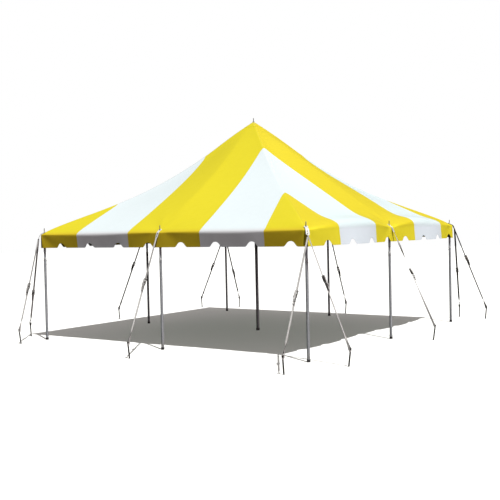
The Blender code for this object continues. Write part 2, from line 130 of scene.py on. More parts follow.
class Link:
    # a node's output that takes part in sums
    def __init__(self, tree, socket=None):
        self.tree = tree
        self.socket = socket

    def node(self, kind, settings=None, values=None, output=0):
        made = self.tree.nodes.new("ShaderNode" + kind)
        for key, value in (settings or {}).items():
            setattr(made, key, value)
        for key, value in (values or {}).items():
            if isinstance(value, Link):
                self.tree.links.new(value.socket, made.inputs[key])
            else:
                made.inputs[key].default_value = value
        return Link(self.tree, made.outputs[output])

    def split(self):
        # x, y and z
        parts = self.node("SeparateXYZ", None, {0: self})
        return [Link(self.tree, part) for part in parts.socket.node.outputs]

    def cloud(self, scale, detail, distortion=0.0):
        values = {"Vector": self, "Scale": scale, "Detail": detail, "Distortion": distortion}
        return self.node("TexNoise", None, values)

    def sum(self, operation, first, second=0.0, third=0.0):
        return self.node("Math", {"operation": operation}, {0: first, 1: second, 2: third})

    def __add__(self, more):
        return self.sum("ADD", self, more)

    __radd__ = __add__

    def __sub__(self, less):
        return self.sum("SUBTRACT", self, less)

    def __rsub__(self, whole):
        return self.sum("SUBTRACT", whole, self)

    def __mul__(self, times):
        return self.sum("MULTIPLY", self, times)

    __rmul__ = __mul__

    def __abs__(self):
        return self.sum("ABSOLUTE", self)

    def wave(self, length):
        # 0 to 1 and back over each length
        return self.sum("SINE", self * (2 * math.pi / length)) * 0.5 + 0.5

    def rise(self, low, high):
        return self.node("MapRange", {"interpolation_type": "SMOOTHSTEP"},
                         {"Value": self, "From Min": low, "From Max": high})

    def near(self, place, reach):
        # 1 at the place and 0 beyond the reach
        return 1 - abs(self - place).rise(reach * 0.6, reach)

    def tint(self, low, high):
        # a colour between two, by this share; 6 and 7 are the node's colours
        values = {0: self}
        for slot, colour in ((6, low), (7, high)):
            values[slot] = colour if isinstance(colour, Link) else (*colour, 1)
        return self.node("Mix", {"data_type": "RGBA"}, values, output=2)


def startMaterial(name, **fixed):
    material = bpy.data.materials.new(name)
    material.use_nodes = True
    shader = material.node_tree.nodes["Principled BSDF"]
    for socket, value in fixed.items():
        shader.inputs[socket.replace("_", " ")].default_value = value
    return material, shader, Link(material.node_tree)


def feed(shader, start, colour, roughness, metallic, height, depth=0.001, strength=0.5):
    bump = start.node("Bump", None, {"Strength": strength, "Distance": depth, "Height": height})
    links = {"Base Color": colour, "Roughness": roughness, "Metallic": metallic, "Normal": bump}
    for socket, link in links.items():
        if link is not None:
            start.tree.links.new(link.socket, shader.inputs[socket])


vinyl = {
    "yellow": (0.612, 0.546, 0.0078),
    "yellowSide": (0.565, 0.480, 0.0085),   # painted shade: a darker copy for the roof's left and right slopes
    "yellowDeep": (0.47, 0.41, 0.012),
    "yellowRight": (0.715, 0.640, 0.016),   # painted light: a brighter copy for the sunny valance
    "yellowFront": (0.555, 0.410, 0.012),   # painted shade: a darker copy for the one in shade
    # the white's copies below are likewise painted shade and painted light
    "white": (0.625, 0.715, 0.735),
    "whiteSide": (0.560, 0.672, 0.680),
    "whiteRight": (0.676, 0.769, 0.823),
    "whiteFront": (0.546, 0.556, 0.569),
    "whiteDull": (0.49, 0.555, 0.575),
    "middleStripe": (0.692, 0.838),     # half the middle panel's width at the hip and at the eave
    "cornerStripe": (1.965, 2.229),     # where the corner panel starts, likewise
    "askew": 0.10,                      # how far the panels stray sideways by the eave
    "cornerFront": 0.055,               # the front corner panels are this much wider
    "edge": 0.002,
    "mitreRound": 0.21,
    "weld": 0.014,              # half the width of a welded lap
    "weave": 0.0016,
    "hem": (0.017, 0.021),      # where the welded hem ends
    "hemStitch": 0.015,
    "stitchHalf": 0.0016,
    "eave": (2.08, 2.20),       # height over which the valance's tones give way to the roof's
    "face": (2.98, 3.10),       # from the middle to the valance's face
    # painted shade: a grey line along the hips, and its half width
    "hipLine": (0.30, 0.30, 0.27),
    "hipShadeWidth": 0.034,
}


def makeVinyl():
    v = vinyl
    material, shader, start = startMaterial("striped_vinyl", Coat_Weight=0.05, Coat_Roughness=0.35)
    place = start.node("TexCoord", output="Object")
    x, y, z = place.split()
    byHip = abs(x) - abs(y)
    frontal = 1 - byHip.rise(-0.001, 0.001)     # 1 on the front and back, 0 on the sides

    # panels mitred at the hips, and the laps where they are welded
    out = start.sum("MAXIMUM", abs(x), abs(y))
    hand = start.sum("SIGN", x * y * byHip)
    aside = start.sum("SMOOTH_MIN", abs(x), abs(y), v["mitreRound"])
    yellow = laps = None
    for key in ("middleStripe", "cornerStripe"):
        narrow, wide = v[key]
        along = out.node("MapRange", None, {"Value": out, "From Min": narrow, "From Max": tent["halfSide"]})
        border = along * (wide - narrow) + narrow
        if key == "cornerStripe":
            border = border - along * frontal * v["cornerFront"]
        off = aside - hand * along * v["askew"] - border
        past = off.rise(-v["edge"], v["edge"])
        yellow = past + yellow if yellow else 1 - past
        laps = off.near(0.0, v["weld"]) + (laps or 0.0)
    hips = abs(byHip).near(0.0, v["weld"] * 1.6)
    fromHem = start.node("Attribute", {"attribute_name": "fromHem"}, output="Fac")
    hem = 1 - fromHem.rise(*v["hem"])
    stitch = fromHem.near(v["hemStitch"], v["stitchHalf"])
    lap = start.sum("MINIMUM", laps + hips + hem * 0.8, 1.0)

    # painted light and shade: the roof's side slopes and the valance in shade get darker copies of each tone,
    # the sunny valance a brighter one
    broad, fine = place.cloud(0.9, 3.0), place.cloud(7.0, 5.0)
    # darker by random tone and at the welded laps, hem and stitches; the extra darkening along the hips is
    # painted shade
    toneAndHipShade = start.sum("MINIMUM", fine * broad * 0.35 + lap * 0.16 + hips * 0.30 + stitch * 0.30, 1.0)
    inner, outer = v["face"]
    hanging = 1 - z.rise(*v["eave"])
    shaded = (1 - y.rise(-outer, -inner)) * hanging
    sunny = x.rise(inner, outer) * hanging
    tones = []
    for name in ("white", "yellow"):
        slopes = frontal.tint(v[name + "Side"], v[name])
        tones.append(sunny.tint(shaded.tint(slopes, v[name + "Front"]), v[name + "Right"]))
    colour = yellow.tint(toneAndHipShade.tint(tones[0], v["whiteDull"]), toneAndHipShade.tint(tones[1], v["yellowDeep"]))
    ridge = abs(byHip).near(0.0, v["hipShadeWidth"])
    hipShadeLine = ridge * (1 - x.rise(-0.1, 0.1) * (1 - y.rise(-0.1, 0.1)))     # painted shade line along the hips, none down the nearest hip
    colour = (hipShadeLine * 0.70).tint(colour, v["hipLine"])

    weave = (x + y * 0.5).wave(v["weave"]) * (z + y * 0.5).wave(v["weave"])
    creases = place.cloud(2.6, 4.0, 0.6)
    height = weave * 0.10 + lap * 0.55 + creases * 4.5 + fine - stitch * 0.4
    feed(shader, start, colour, fine * 0.16 + 0.38 + lap * 0.05, None, height)
    return material


webbing = {
    "thread": (0.52, 0.52, 0.51),
    "shadow": (0.30, 0.30, 0.29),
    "soil": (0.20, 0.185, 0.16),
    # painted shade: dark along the strap's edges
    "edgeShade": (0.060, 0.060, 0.058),
    "grey": (0.230, 0.230, 0.226),        # painted shade on the upper ends and the guys at the sides
    "greyBack": (-2.8, -1.4),
    "greyFrom": (0.9, 1.4),
    "greyTo": (1.80, 1.88),
    "nearSide": (2.6, 3.0),               # the nearest corner's straps get less of the painted shade
    "backShade": (0.020, 0.019, 0.018),   # painted shade on the guys at the back
    "farBack": (-1.0, 1.4),
    "soilHeight": (0.15, 0.9),
    "rib": 0.0021,
    "cord": 0.0028,
    "edgeShadeAt": (0.0128, 0.0144),       # where the painted shade along the edges starts and ends, from the strap's middle line
}


def makeWebbing():
    w = webbing
    material, shader, start = startMaterial("white_webbing")
    across, along, _ = start.node("Attribute", {"attribute_name": "weave"}, output="Vector").split()
    place = start.node("TexCoord", output="Object")
    x, y, z = place.split()
    ribs = (along + abs(across) * 0.55).wave(w["rib"])
    cords = across.wave(w["cord"])
    # painted shade along both edges of the strap
    edge = abs(across).rise(*w["edgeShadeAt"])
    dark = start.sum("MINIMUM", (1 - ribs) * 0.35 + (1 - cords) * 0.20, 1.0)
    clean = edge.tint(dark.tint(w["thread"], w["shadow"]), w["edgeShade"])
    soil = place.cloud(9.0, 5.0).rise(0.48, 0.78)
    low = 1 - z.rise(*w["soilHeight"])
    colour = (soil * 0.25 + low * soil * 0.45).tint(clean, w["soil"])
    inner, outer = w["nearSide"]
    nearest = x.rise(inner, outer) * (1 - y.rise(-outer, -inner))
    # painted shade: greyer towards the back and above 0.9 m, but not above the valance's hem
    paintedShade = start.sum("MAXIMUM", y.rise(*w["greyBack"]), z.rise(*w["greyFrom"])) * (1 - z.rise(*w["greyTo"]))
    colour = (paintedShade * (1 - nearest * 0.6) * 0.85).tint(colour, w["grey"])
    # painted shade: the guys at the back turn nearly black
    far = (y - x * 0.5).rise(*w["farBack"])
    colour = (far * 0.95).tint(colour, w["backShade"])
    feed(shader, start, colour, soil * 0.08 + 0.80, None, ribs * 0.6 + cords * 0.5, 0.0006, 0.7)
    return material


galvanised = {
    "bright": (0.46, 0.50, 0.52),
    "dull": (0.29, 0.32, 0.34),
    "soil": (0.16, 0.14, 0.115),
    "backShade": (0.085, 0.090, 0.092),   # painted shade on the poles in the middle and at the back
    "farBack": (-1.0, 0.2),
    "rightSide": (1.6, 2.4),              # those on the right get none of the painted shade
    "soilHeight": (0.03, 0.22),
    "spangle": 55.0,
}


def makeGalvanised():
    g = galvanised
    material, shader, start = startMaterial("galvanised_tube")
    place = start.node("TexCoord", output="Object")
    x, y, z = place.split()
    stretched = start.node("Mapping", None, {"Vector": place, "Scale": (1, 1, 0.35)})
    cells = start.node("TexVoronoi", None, {"Vector": place, "Scale": g["spangle"]}, output="Color")
    spangle = start.node("SeparateColor", None, {0: cells})
    cloud, scratch = stretched.cloud(14.0, 5.0), stretched.cloud(180.0, 2.0)
    share = start.sum("MINIMUM", spangle * 0.35 + cloud * 0.7, 1.0)
    soil = (1 - z.rise(*g["soilHeight"])) * cloud.rise(0.42, 0.62) * 0.7
    colour = soil.tint(share.tint(g["dull"], g["bright"]), g["soil"])
    # painted shade on the poles in the middle and at the back, not on those on the right
    paintedShade = (y - x * 0.5).rise(*g["farBack"]) * (1 - x.rise(*g["rightSide"]))
    colour = (paintedShade * 0.65).tint(colour, g["backShade"])
    roughness = spangle * 0.14 + scratch * 0.10 + 0.30 + soil * 0.4
    feed(shader, start, colour, roughness, 0.42 - soil * 0.35, cloud * 0.4 + scratch * 0.15, 0.0004)
    return material


def makePlainMetal(name, bright, dull, rust, rustShare, roughness, metallic):
    material, shader, start = startMaterial(name)
    place = start.node("TexCoord", output="Object")
    cloud, grain = place.cloud(60.0, 6.0), place.cloud(420.0, 3.0)
    patch = place.cloud(24.0, 8.0).rise(0.74 - rustShare, 0.80)
    colour = patch.tint(cloud.tint(dull, bright), rust)
    feed(shader, start, colour, cloud * 0.2 + roughness + patch * 0.3, metallic - patch * metallic * 0.8,
         grain * 0.5 + patch * 0.8, 0.0004)
    return material


def makeRubber(colour, dustColour):
    material, shader, start = startMaterial("black_rubber")
    place = start.node("TexCoord", output="Object")
    dust = place.cloud(38.0, 6.0).rise(0.5, 0.72)
    grain = place.cloud(600.0, 2.0)
    feed(shader, start, (dust * 0.5).tint(colour, dustColour), dust * 0.15 + 0.62, None, grain, 0.0003, 0.4)
    return material


def makePale(name, colour, roughness):
    material, shader, start = startMaterial(name)
    place = start.node("TexCoord", output="Object")
    cloud, grain = place.cloud(26.0, 5.0), place.cloud(500.0, 2.0)
    dull = tuple(0.72 * part for part in colour)
    mottled = cloud.rise(0.40, 0.70).tint(colour, dull)
    feed(shader, start, mottled, cloud * 0.1 + roughness, None, grain, 0.0003, 0.4)
    return material


striped = makeVinyl()
woven = makeWebbing()
tube = makeGalvanised()
zinc = makePlainMetal("zinc_plate", bright=(0.36, 0.355, 0.33), dull=(0.19, 0.185, 0.17),
                      rust=(0.12, 0.06, 0.03), rustShare=0.05, roughness=0.30, metallic=0.85)
iron = makePlainMetal("stake_iron", bright=(0.060, 0.057, 0.054), dull=(0.022, 0.021, 0.020),
                      rust=(0.085, 0.035, 0.016), rustShare=0.14, roughness=0.50, metallic=0.6)
rubber = makeRubber((0.022, 0.022, 0.024), dustColour=(0.20, 0.185, 0.16))
patchVinyl = makePale("white_patch", (0.64, 0.66, 0.65), 0.50)
paleRing = makePale("pale_collar", (0.60, 0.62, 0.62), 0.35)
print("finishes made")


def toMesh(bm, name):
    mesh = bpy.data.meshes.new(name)
    bm.to_mesh(mesh)
    bm.free()
    return mesh


def keepPiece(name, bm, materials, nodes=(), sharp=35):
    mesh = toMesh(bm, name)
    for material in materials:
        mesh.materials.append(material)
    mesh.shade_smooth()
    mesh.set_sharp_from_angle(angle=math.radians(sharp))
    piece = bpy.data.objects.new(name, mesh)
    bpy.context.scene.collection.objects.link(piece)
    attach(piece, "root")
    if nodes:
        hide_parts(*nodes)
    return piece


def only(kind, geom):
    return [part for part in geom if isinstance(part, kind)]


def copied(mesh, place):
    # a finished mesh, moved to its place
    bm = bmesh.new()
    bm.from_mesh(mesh)
    bm.transform(place)
    return bm


def closeUp(bm, slot):
    # fills open ends, turns the faces outwards and gives them their finish
    bmesh.ops.holes_fill(bm, edges=[edge for edge in bm.edges if edge.is_boundary], sides=0)
    bmesh.ops.recalc_face_normals(bm, faces=bm.faces)
    for face in bm.faces:
        face.material_index = slot


def turned(profile, steps=32, place=None, slot=0, closed=False):
    # (radius, height) points turned about Z into a bmesh
    bm = bmesh.new()
    verts = [bm.verts.new((radius, 0, height)) for radius, height in profile]
    pairs = list(zip(verts, verts[1:])) + ([(verts[-1], verts[0])] if closed else [])
    edges = [bm.edges.new(pair) for pair in pairs]
    bmesh.ops.spin(bm, geom=verts + edges, cent=(0, 0, 0), axis=(0, 0, 1), angle=2 * math.pi,
                   steps=steps, use_merge=True)
    bmesh.ops.remove_doubles(bm, verts=bm.verts, dist=1e-6)
    closeUp(bm, slot)
    if place is not None:
        bm.transform(place)
    return bm


def join(parts):
    whole = bmesh.new()
    whole.verts.layers.float_vector.new("weave")
    for part in parts:
        mesh = toMesh(part, "part")
        whole.from_mesh(mesh)
        bpy.data.meshes.remove(mesh)
    return whole


def smoothed(points, steps):
    # a smooth run through the points, which may be vectors of any size
    padded = [2 * points[0] - points[1]] + points + [2 * points[-1] - points[-2]]
    run = []
    for a, b, c, d in zip(padded, padded[1:], padded[2:], padded[3:]):
        for i in range(steps):
            t = i / steps
            run.append(0.5 * (2 * b + (c - a) * t + (2 * a - 5 * b + 4 * c - d) * t * t
                              + (3 * b - a - 3 * c + d) * t ** 3))
    return run + [points[-1]]


def framesAlong(points, sides):
    frames = []
    for i, (point, side) in enumerate(zip(points, sides)):
        ahead = points[min(i + 1, len(points) - 1)] - points[max(i - 1, 0)]
        ahead.normalize()
        out = ahead.cross(side).normalized()
        frames.append(axesAt(out.cross(ahead), out, ahead, point))
    return frames


def swept(outline, points, sides, slot=0):
    # an outline of (across, out) points carried along a run, closed at both ends
    bm = bmesh.new()
    layer = bm.verts.layers.float_vector.new("weave")
    frames = framesAlong(points, sides)
    verts = []
    for across, out in outline:
        vert = bm.verts.new(frames[0] @ Vector((across, out, 0)))
        vert[layer] = (across, 0, 0)
        verts.append(vert)
    end = bm.faces.new(verts)
    done = 0.0
    for last, here in zip(frames, frames[1:]):
        end = only(BMFace, bmesh.ops.extrude_face_region(bm, geom=[end])["geom"])[0]
        done += (here.translation - last.translation).length
        bmesh.ops.transform(bm, matrix=here @ last.inverted(), verts=end.verts[:])
        for vert in end.verts:
            vert[layer] = (vert[layer][0], done, 0)
    closeUp(bm, slot)
    return bm


def bandOutline(width, thickness):
    half, side = width / 2, thickness / 2
    soft = min(side, 0.0012)
    return [(-half, -side + soft), (-half + soft, -side), (half - soft, -side), (half, -side + soft),
            (half, side - soft), (half - soft, side), (-half + soft, side), (-half, side - soft)]


def roundOutline(radius, sides):
    return [(radius * math.cos(2 * math.pi * i / sides), radius * math.sin(2 * math.pi * i / sides))
            for i in range(sides)]


# lay a shape turned about Z across Y, or along X
acrossY = Matrix.Rotation(math.pi / 2, 4, "X")
alongX = Matrix.Rotation(math.pi / 2, 4, "Y")


def plateBetween(ends, thickness, middle):
    # a flat bar across Y whose outline wraps circles given as (x, z, radius)
    bm = bmesh.new()
    for x, z, radius in ends:
        for side in (-1, 1):
            place = Matrix.Translation((x, middle + side * thickness / 2, z)) @ acrossY
            bmesh.ops.create_circle(bm, segments=24, radius=radius, matrix=place)
    hull = bmesh.ops.convex_hull(bm, input=bm.verts[:])
    loose = set(only(BMVert, hull["geom_interior"] + hull["geom_unused"]))
    bmesh.ops.delete(bm, geom=list(loose), context="VERTS")
    bmesh.ops.dissolve_limit(bm, angle_limit=math.radians(2), verts=bm.verts, edges=bm.edges)
    rims = [edge for edge in bm.edges if len(edge.link_faces) == 2 and edge.calc_face_angle() > 1]
    bmesh.ops.bevel(bm, geom=rims, offset=0.0006, segments=2, profile=0.5, affect="EDGES", material=-1)
    return bm


def barAcross(z, radius, half, steps=20):
    # a round bar across Y with softened ends
    soft = 0.0012
    profile = [(0, -half), (radius - soft, -half), (radius, -half + soft), (radius, half - soft),
               (radius - soft, half), (0, half)]
    return turned(profile, steps, Matrix.Translation((0, 0, z)) @ acrossY)


def boxBetween(low, high):
    bm = bmesh.new()
    size = [b - a for a, b in zip(low, high)]
    middle = [(a + b) / 2 for a, b in zip(low, high)]
    bmesh.ops.create_cube(bm, size=1, matrix=Matrix.Translation(middle) @ Matrix.Diagonal((*size, 1)))
    bmesh.ops.bevel(bm, geom=bm.edges[:], offset=0.0005, segments=2, profile=0.5, affect="EDGES", material=-1)
    return bm


# each side's left and right end seen from outside, the sag up its middle, its eave's radius and lift
# between two poles, its scallops' shift, its hem's rise, and how far its valance bulges and leans out
roofSides = {
    "front": {"ends": ("front_left", "front_right"), "sag": 0.15, "bend": 0.070, "puff": 0.045,
              "shift": 0.130, "rise": 0.000, "bulge": 0.000, "lean": -0.034, "poleLean": -0.018},
    "right": {"ends": ("front_right", "back_right"), "sag": 0.03, "bend": 0.170, "puff": 0.215,
              "shift": 0.170, "rise": 0.000, "bulge": 0.055, "lean": 0.035, "poleLean": 0.000},
    "back": {"ends": ("back_right", "back_left"), "sag": 0.17, "bend": 0.070, "puff": 0.030,
             "shift": -0.035, "rise": 0.030, "bulge": 0.010, "lean": 0.010, "poleLean": 0.000},
    "left": {"ends": ("back_left", "front_left"), "sag": 0.18, "bend": 0.070, "puff": 0.030,
             "shift": -0.045, "rise": 0.000, "bulge": 0.010, "lean": 0.010, "poleLean": 0.000},
}
hipSag = {"front_left": 0.265, "front_right": 0.175, "back_right": 0.262, "back_left": 0.215}
canopy = {
    "hole": 0.012,
    "reach": 3.106,           # from the middle to the valance
    "bottom": 1.842,
    "dip": 0.034,             # sag of the eave between two poles
    "ridge": 0.032,           # height of the taut line from each middle pole to the peak
    "ridgeReach": 0.34,
    "puffReach": 0.090,
    "poleBend": 0.028,        # radius of the fold from roof to valance at a pole
    "roofCorner": 0.035,      # plan radius of the hips
    "hemCorner": 0.060,       # and of the valance's corners at the hem
    "thickness": 0.0024,      # of the doubled hem
    "plainShare": 0.55,       # the single cloth's share of it
    "hemBand": 0.020,
    "scallops": 8,
    "notchHeight": 0.088,
    "notchWidth": 0.280,
    "notchFlat": 1.40,
    "pull": 0.0040,           # height of the folds that run from a pole
    "pullReach": 0.26,
    "pullFolds": 6,
    "slack": 0.007,
    "hang": 0.006,            # waves of the hanging valance
    "flare": 0.016,           # how far the valance stands out below a pole
    "roofRows": 43,
    "crowd": 1.35,            # rows lie closer towards the eave
    "bendRows": 7,
    "valanceRows": 9,
    "notchSteps": 16,
    "lobeSteps": 7,
    "foldColumn": 0.045,      # spacing of more columns for the folds at the corners
    "foldColumns": (14, 5),   # how many of them at the left corner and at the right
    "leastColumn": 0.009,     # columns closer than this are left out
    "cornerColumns": (0.042, 0.026, 0.012, 0.0),     # the last ones, from the corner
    "cornerGap": 0.006,
}


def sagShape(u):
    rise, fade = tent["sagRise"], tent["sagFade"]
    deepest = rise ** rise * fade ** fade / (rise + fade) ** (rise + fade)
    return u ** rise * max(0.0, 1 - u) ** fade / deepest


def roofHeight(out, share, side=None):
    if out < tent["crownHalf"]:
        top = roofHeight(tent["crownHalf"], 0)
        return tent["peak"] - (tent["peak"] - top) * out / tent["crownHalf"]
    u = out / tent["halfSide"]
    swing = (math.sin(math.pi * share) ** 2 + 0.004) ** 0.62 - 0.004 ** 0.62
    level = tent["peak"] - (tent["peak"] - tent["eave"]) * u - canopy["dip"] * u ** 3 * swing
    if side is None:
        return level - tent["sag"] * sagShape(u)
    ends, middle, puff = [roofSides[side][key] for key in ("ends", "sag", "puff")]
    hip = hipSag[ends[share > 0]]
    sag = middle + (hip - middle) * math.sin(math.pi / 2 * share) ** 2
    away = math.hypot(share * out, 0.02) / canopy["ridgeReach"]
    taut = canopy["ridge"] * math.sin(math.pi * min(1.0, u)) ** 0.8 * math.exp(-away)
    eased = min(1.0, (out - tent["crownHalf"]) / 0.5)
    between = math.sqrt(math.sin(math.pi * share) ** 2 + 0.02) - math.sqrt(0.02)
    lifted = puff * between * (1.12 - 0.45 * abs(share))
    taut += lifted * math.exp(-((min(u, 1.02) - 1.02) / canopy["puffReach"]) ** 2)
    return level - (tent["sag"] + (sag - tent["sag"]) * eased) * sagShape(u) + taut * eased


def roofFall(out, run, share=0, side=None):
    # how steeply the roof falls over a run that ends here
    return (roofHeight(out - run, share, side) - roofHeight(out, share, side)) / run


eaveEdge = tent["halfSide"] + tent["overhang"]
eaveFall = roofFall(eaveEdge, 0.12)


def roundCorner(along, out, corner):
    # carries a point that lies near a hip round it
    past = abs(along) - (out - corner)
    if past > 0:
        turn = past / corner * math.pi / 4
        along = math.copysign(out - corner + corner * math.sin(turn), along)
        out += corner * (math.cos(turn) - 1)
    return along, out


def hemLift(along, side):
    pitch = 2 * tent["halfSide"] / canopy["scallops"]
    place = along + tent["halfSide"] - roofSides[side]["shift"]
    off = abs(place % pitch - pitch / 2) / (canopy["notchWidth"] / 2)
    if off >= 1 or abs(along) > tent["halfSide"]:
        return 0.0
    return canopy["notchHeight"] * 0.5 * (1 + math.cos(math.pi * off ** canopy["notchFlat"]))


def sheetRows():
    rows = []
    for i in range(canopy["roofRows"] + 1):
        left = 1 - i / canopy["roofRows"]
        rows.append(("roof", 1 - left ** canopy["crowd"]))
    rows += [("bend", i / canopy["bendRows"]) for i in range(1, canopy["bendRows"] + 1)]
    rows += [("hang", i / canopy["valanceRows"]) for i in range(1, canopy["valanceRows"] + 1)]
    return rows + [("hem", 1.0)]


def sheetStations(side):
    # shares of a half side at which columns run down the sheet
    half, reach = tent["halfSide"], canopy["reach"]
    pitch = 2 * half / canopy["scallops"]
    notch = canopy["notchWidth"] / 2
    lobe = pitch - 2 * notch
    wanted = []
    for i in range(canopy["scallops"]):
        middle = -half + roofSides[side]["shift"] + (i + 0.5) * pitch
        across, along = canopy["notchSteps"], canopy["lobeSteps"]
        wanted += [middle + notch * (2 * j / across - 1) for j in range(across + 1)]
        wanted += [middle + notch + lobe * j / along for j in range(1, along)]
    fromLeft, fromRight = canopy["foldColumns"]
    wanted += [-half + j * canopy["foldColumn"] for j in range(fromLeft)]
    wanted += [half - j * canopy["foldColumn"] for j in range(fromRight)]
    ends = [reach - back for back in canopy["cornerColumns"]]
    kept = [-end for end in ends[::-1]]
    for place in sorted(wanted):
        if place - kept[-1] > canopy["leastColumn"] and abs(place) < ends[0] - canopy["cornerGap"]:
            kept.append(place)
    return [place / reach for place in kept + ends]


def sheetPoint(share, row, side):
    # the front side's point, how far it lies down the cloth from the pole line, how far
    # down the valance, and its height above the hem
    c, s = canopy, roofSides[side]
    kind, amount = row
    wide = math.sin(math.pi * share) ** 2
    reach, stretch = c["reach"] + s["bulge"] * wide, math.hypot(1, eaveFall)
    bend = c["poleBend"] + (s["bend"] - c["poleBend"]) * wide
    starts = reach - bend * (1 - math.sin(math.atan(eaveFall)))
    turnHere = math.atan(roofFall(starts, 0.03, share, side))
    starts = reach - bend * (1 - math.sin(turnHere))
    corner, hang, fromHem = c["roofCorner"], 0.0, 1.0
    if kind == "roof":
        out = c["hole"] + (starts - c["hole"]) * amount
        height = roofHeight(out, share, side)
        corner = min(corner, 0.3 * out)
        down = (out - tent["halfSide"]) * stretch
    else:
        centre = roofHeight(starts, share, side) - bend * math.cos(turnHere)
        down = (starts - tent["halfSide"]) * stretch
        if kind == "bend":
            angle = turnHere + (math.pi / 2 - turnHere) * amount
            out = reach - bend * (1 - math.sin(angle))
            height = centre + bend * math.cos(angle)
            down += bend * (angle - turnHere)
        else:
            bottom = c["bottom"] + hemLift(share * c["reach"], side)
            bottom += s["rise"] * min(1.0, (1 - abs(share)) / 0.08)
            lowest = bottom + c["hemBand"]
            height = centre + (lowest - centre) * amount if kind == "hang" else bottom
            down += bend * (math.pi / 2 - turnHere) + centre - height
            hang = min(1.0, (centre - height) / (centre - c["bottom"]))
            out = reach + (s["lean"] * wide + s["poleLean"] * (1 - wide)) * hang
            fromHem = height - bottom
        corner += (c["hemCorner"] - corner) * hang
    along, out = roundCorner(share * min(out, c["reach"]), out, corner)
    return Vector((along, -out, height)), down, hang, fromHem


def foldedOut(vert, share, down, hang):
    # how far the cloth stands out from its smooth form
    half = tent["halfSide"]
    across = share * half if down > 0 else share * (half + down * 0.8)
    atCorner = abs(share) > 0.5
    aside = half - abs(across) if atCorner else across
    x, y = vert.co.x, vert.co.y
    seed = 3.7 * (round(x / half) if atCorner or abs(x) > abs(y) else 0)
    seed += 7.9 * (round(y / half) if atCorner or abs(y) > abs(x) else 0)
    away = math.hypot(aside, down)
    angle = math.atan2(aside, down)
    reach = canopy["pullReach"] * (0.9 + 0.25 * noise.noise(Vector((seed, angle * 1.3, 0))))
    fade = away / reach * math.exp(1 - away / reach)
    folds = math.sin(canopy["pullFolds"] * angle + seed + 1.5 * noise.noise(Vector((angle, seed, 1))))
    out = canopy["pull"] * fade * folds * (1 - 0.6 * hang)
    calm = min(1.0, away / 0.5, max(0.0, math.hypot(x, y) - 0.15) / 0.6)
    out += canopy["slack"] * calm * noise.noise(vert.co * 0.85)
    if hang > 0:
        place = Vector((across * 2.6, seed, 4.0))
        out += hang * canopy["hang"] * (noise.noise(place) + 0.4 * noise.noise(place * 3.1))
        out += hang * canopy["flare"] * math.exp(-(aside / (0.06 + 0.17 * hang)) ** 2)
    return out


def growRows(bm, chain, rows, settle):
    # a chain of vertices drawn out row by row, each row settled in its place
    edges = [bm.edges.new(pair) for pair in zip(chain, chain[1:])]
    settle(chain, rows[0])
    for row in rows[1:]:
        grown = bmesh.ops.extrude_edge_only(bm, edges=edges)["geom"]
        edges = only(BMEdge, grown)
        settle(only(BMVert, grown), row)


def faceUp(bm):
    # sews the four sides together, with the cloth's face upwards
    bmesh.ops.remove_doubles(bm, verts=bm.verts, dist=1e-5)
    bmesh.ops.recalc_face_normals(bm, faces=bm.faces)
    if sum(face.normal.z for face in bm.faces) < 0:
        bmesh.ops.reverse_faces(bm, faces=bm.faces)
    bm.normal_update()
    bm.verts.index_update()
    bm.edges.index_update()


def keepCloth(name, bm, nodes, thickness, outwards):
    rim = [edge.index for edge in bm.edges if edge.is_boundary]
    piece = keepPiece(name, bm, [striped], nodes, 80)
    for index in rim:
        piece.data.edges[index].use_edge_sharp = True
    wall = piece.modifiers.new("wall", "SOLIDIFY")
    wall.thickness = thickness
    wall.offset = outwards
    return piece, wall


def makeCanopy():
    bm = bmesh.new()
    layers = [bm.verts.layers.float.new(name) for name in ("share", "down", "hang", "fromHem")]
    for number, side in enumerate(roofSides):
        place = Matrix.Rotation(number * math.pi / 2, 4, "Z")

        def settle(verts, row):
            for vert in verts:
                point, *lie = sheetPoint(vert[layers[0]], row, side)
                vert.co = place @ point
                for layer, value in zip(layers[1:], lie):
                    vert[layer] = value

        chain = []
        for share in sheetStations(side):
            chain.append(bm.verts.new((share, 0, 0)))
            chain[-1][layers[0]] = share
        growRows(bm, chain, sheetRows(), settle)
    faceUp(bm)
    moves = [vert.normal * foldedOut(vert, *[vert[layer] for layer in layers[:3]]) for vert in bm.verts]
    for vert, move in zip(bm.verts, moves):
        vert.co += move
    area = sum(face.calc_area() for face in bm.faces)
    hem = [vert.index for vert in bm.verts if vert[layers[3]] < canopy["hemBand"] + 0.001]
    nodes = [f"{side}_roof" for side in roofSides] + [f"{side}_valance" for side in roofSides]
    piece, wall = keepCloth("canopy", bm, nodes, canopy["thickness"], -1)
    piece.vertex_groups.new(name="hem").add(hem, 1.0, "REPLACE")
    wall.vertex_group = "hem"
    wall.thickness_vertex_group = canopy["plainShare"]
    return piece, area


canopyPiece, canopyArea = makeCanopy()
print("canopy sewn,", round(canopyArea, 1), "square metres")

peakPatch = {
    "half": 0.148,
    "rows": 8,
    "stations": 44,
    "lift": 0.0003,
    "thickness": 0.0008,
}


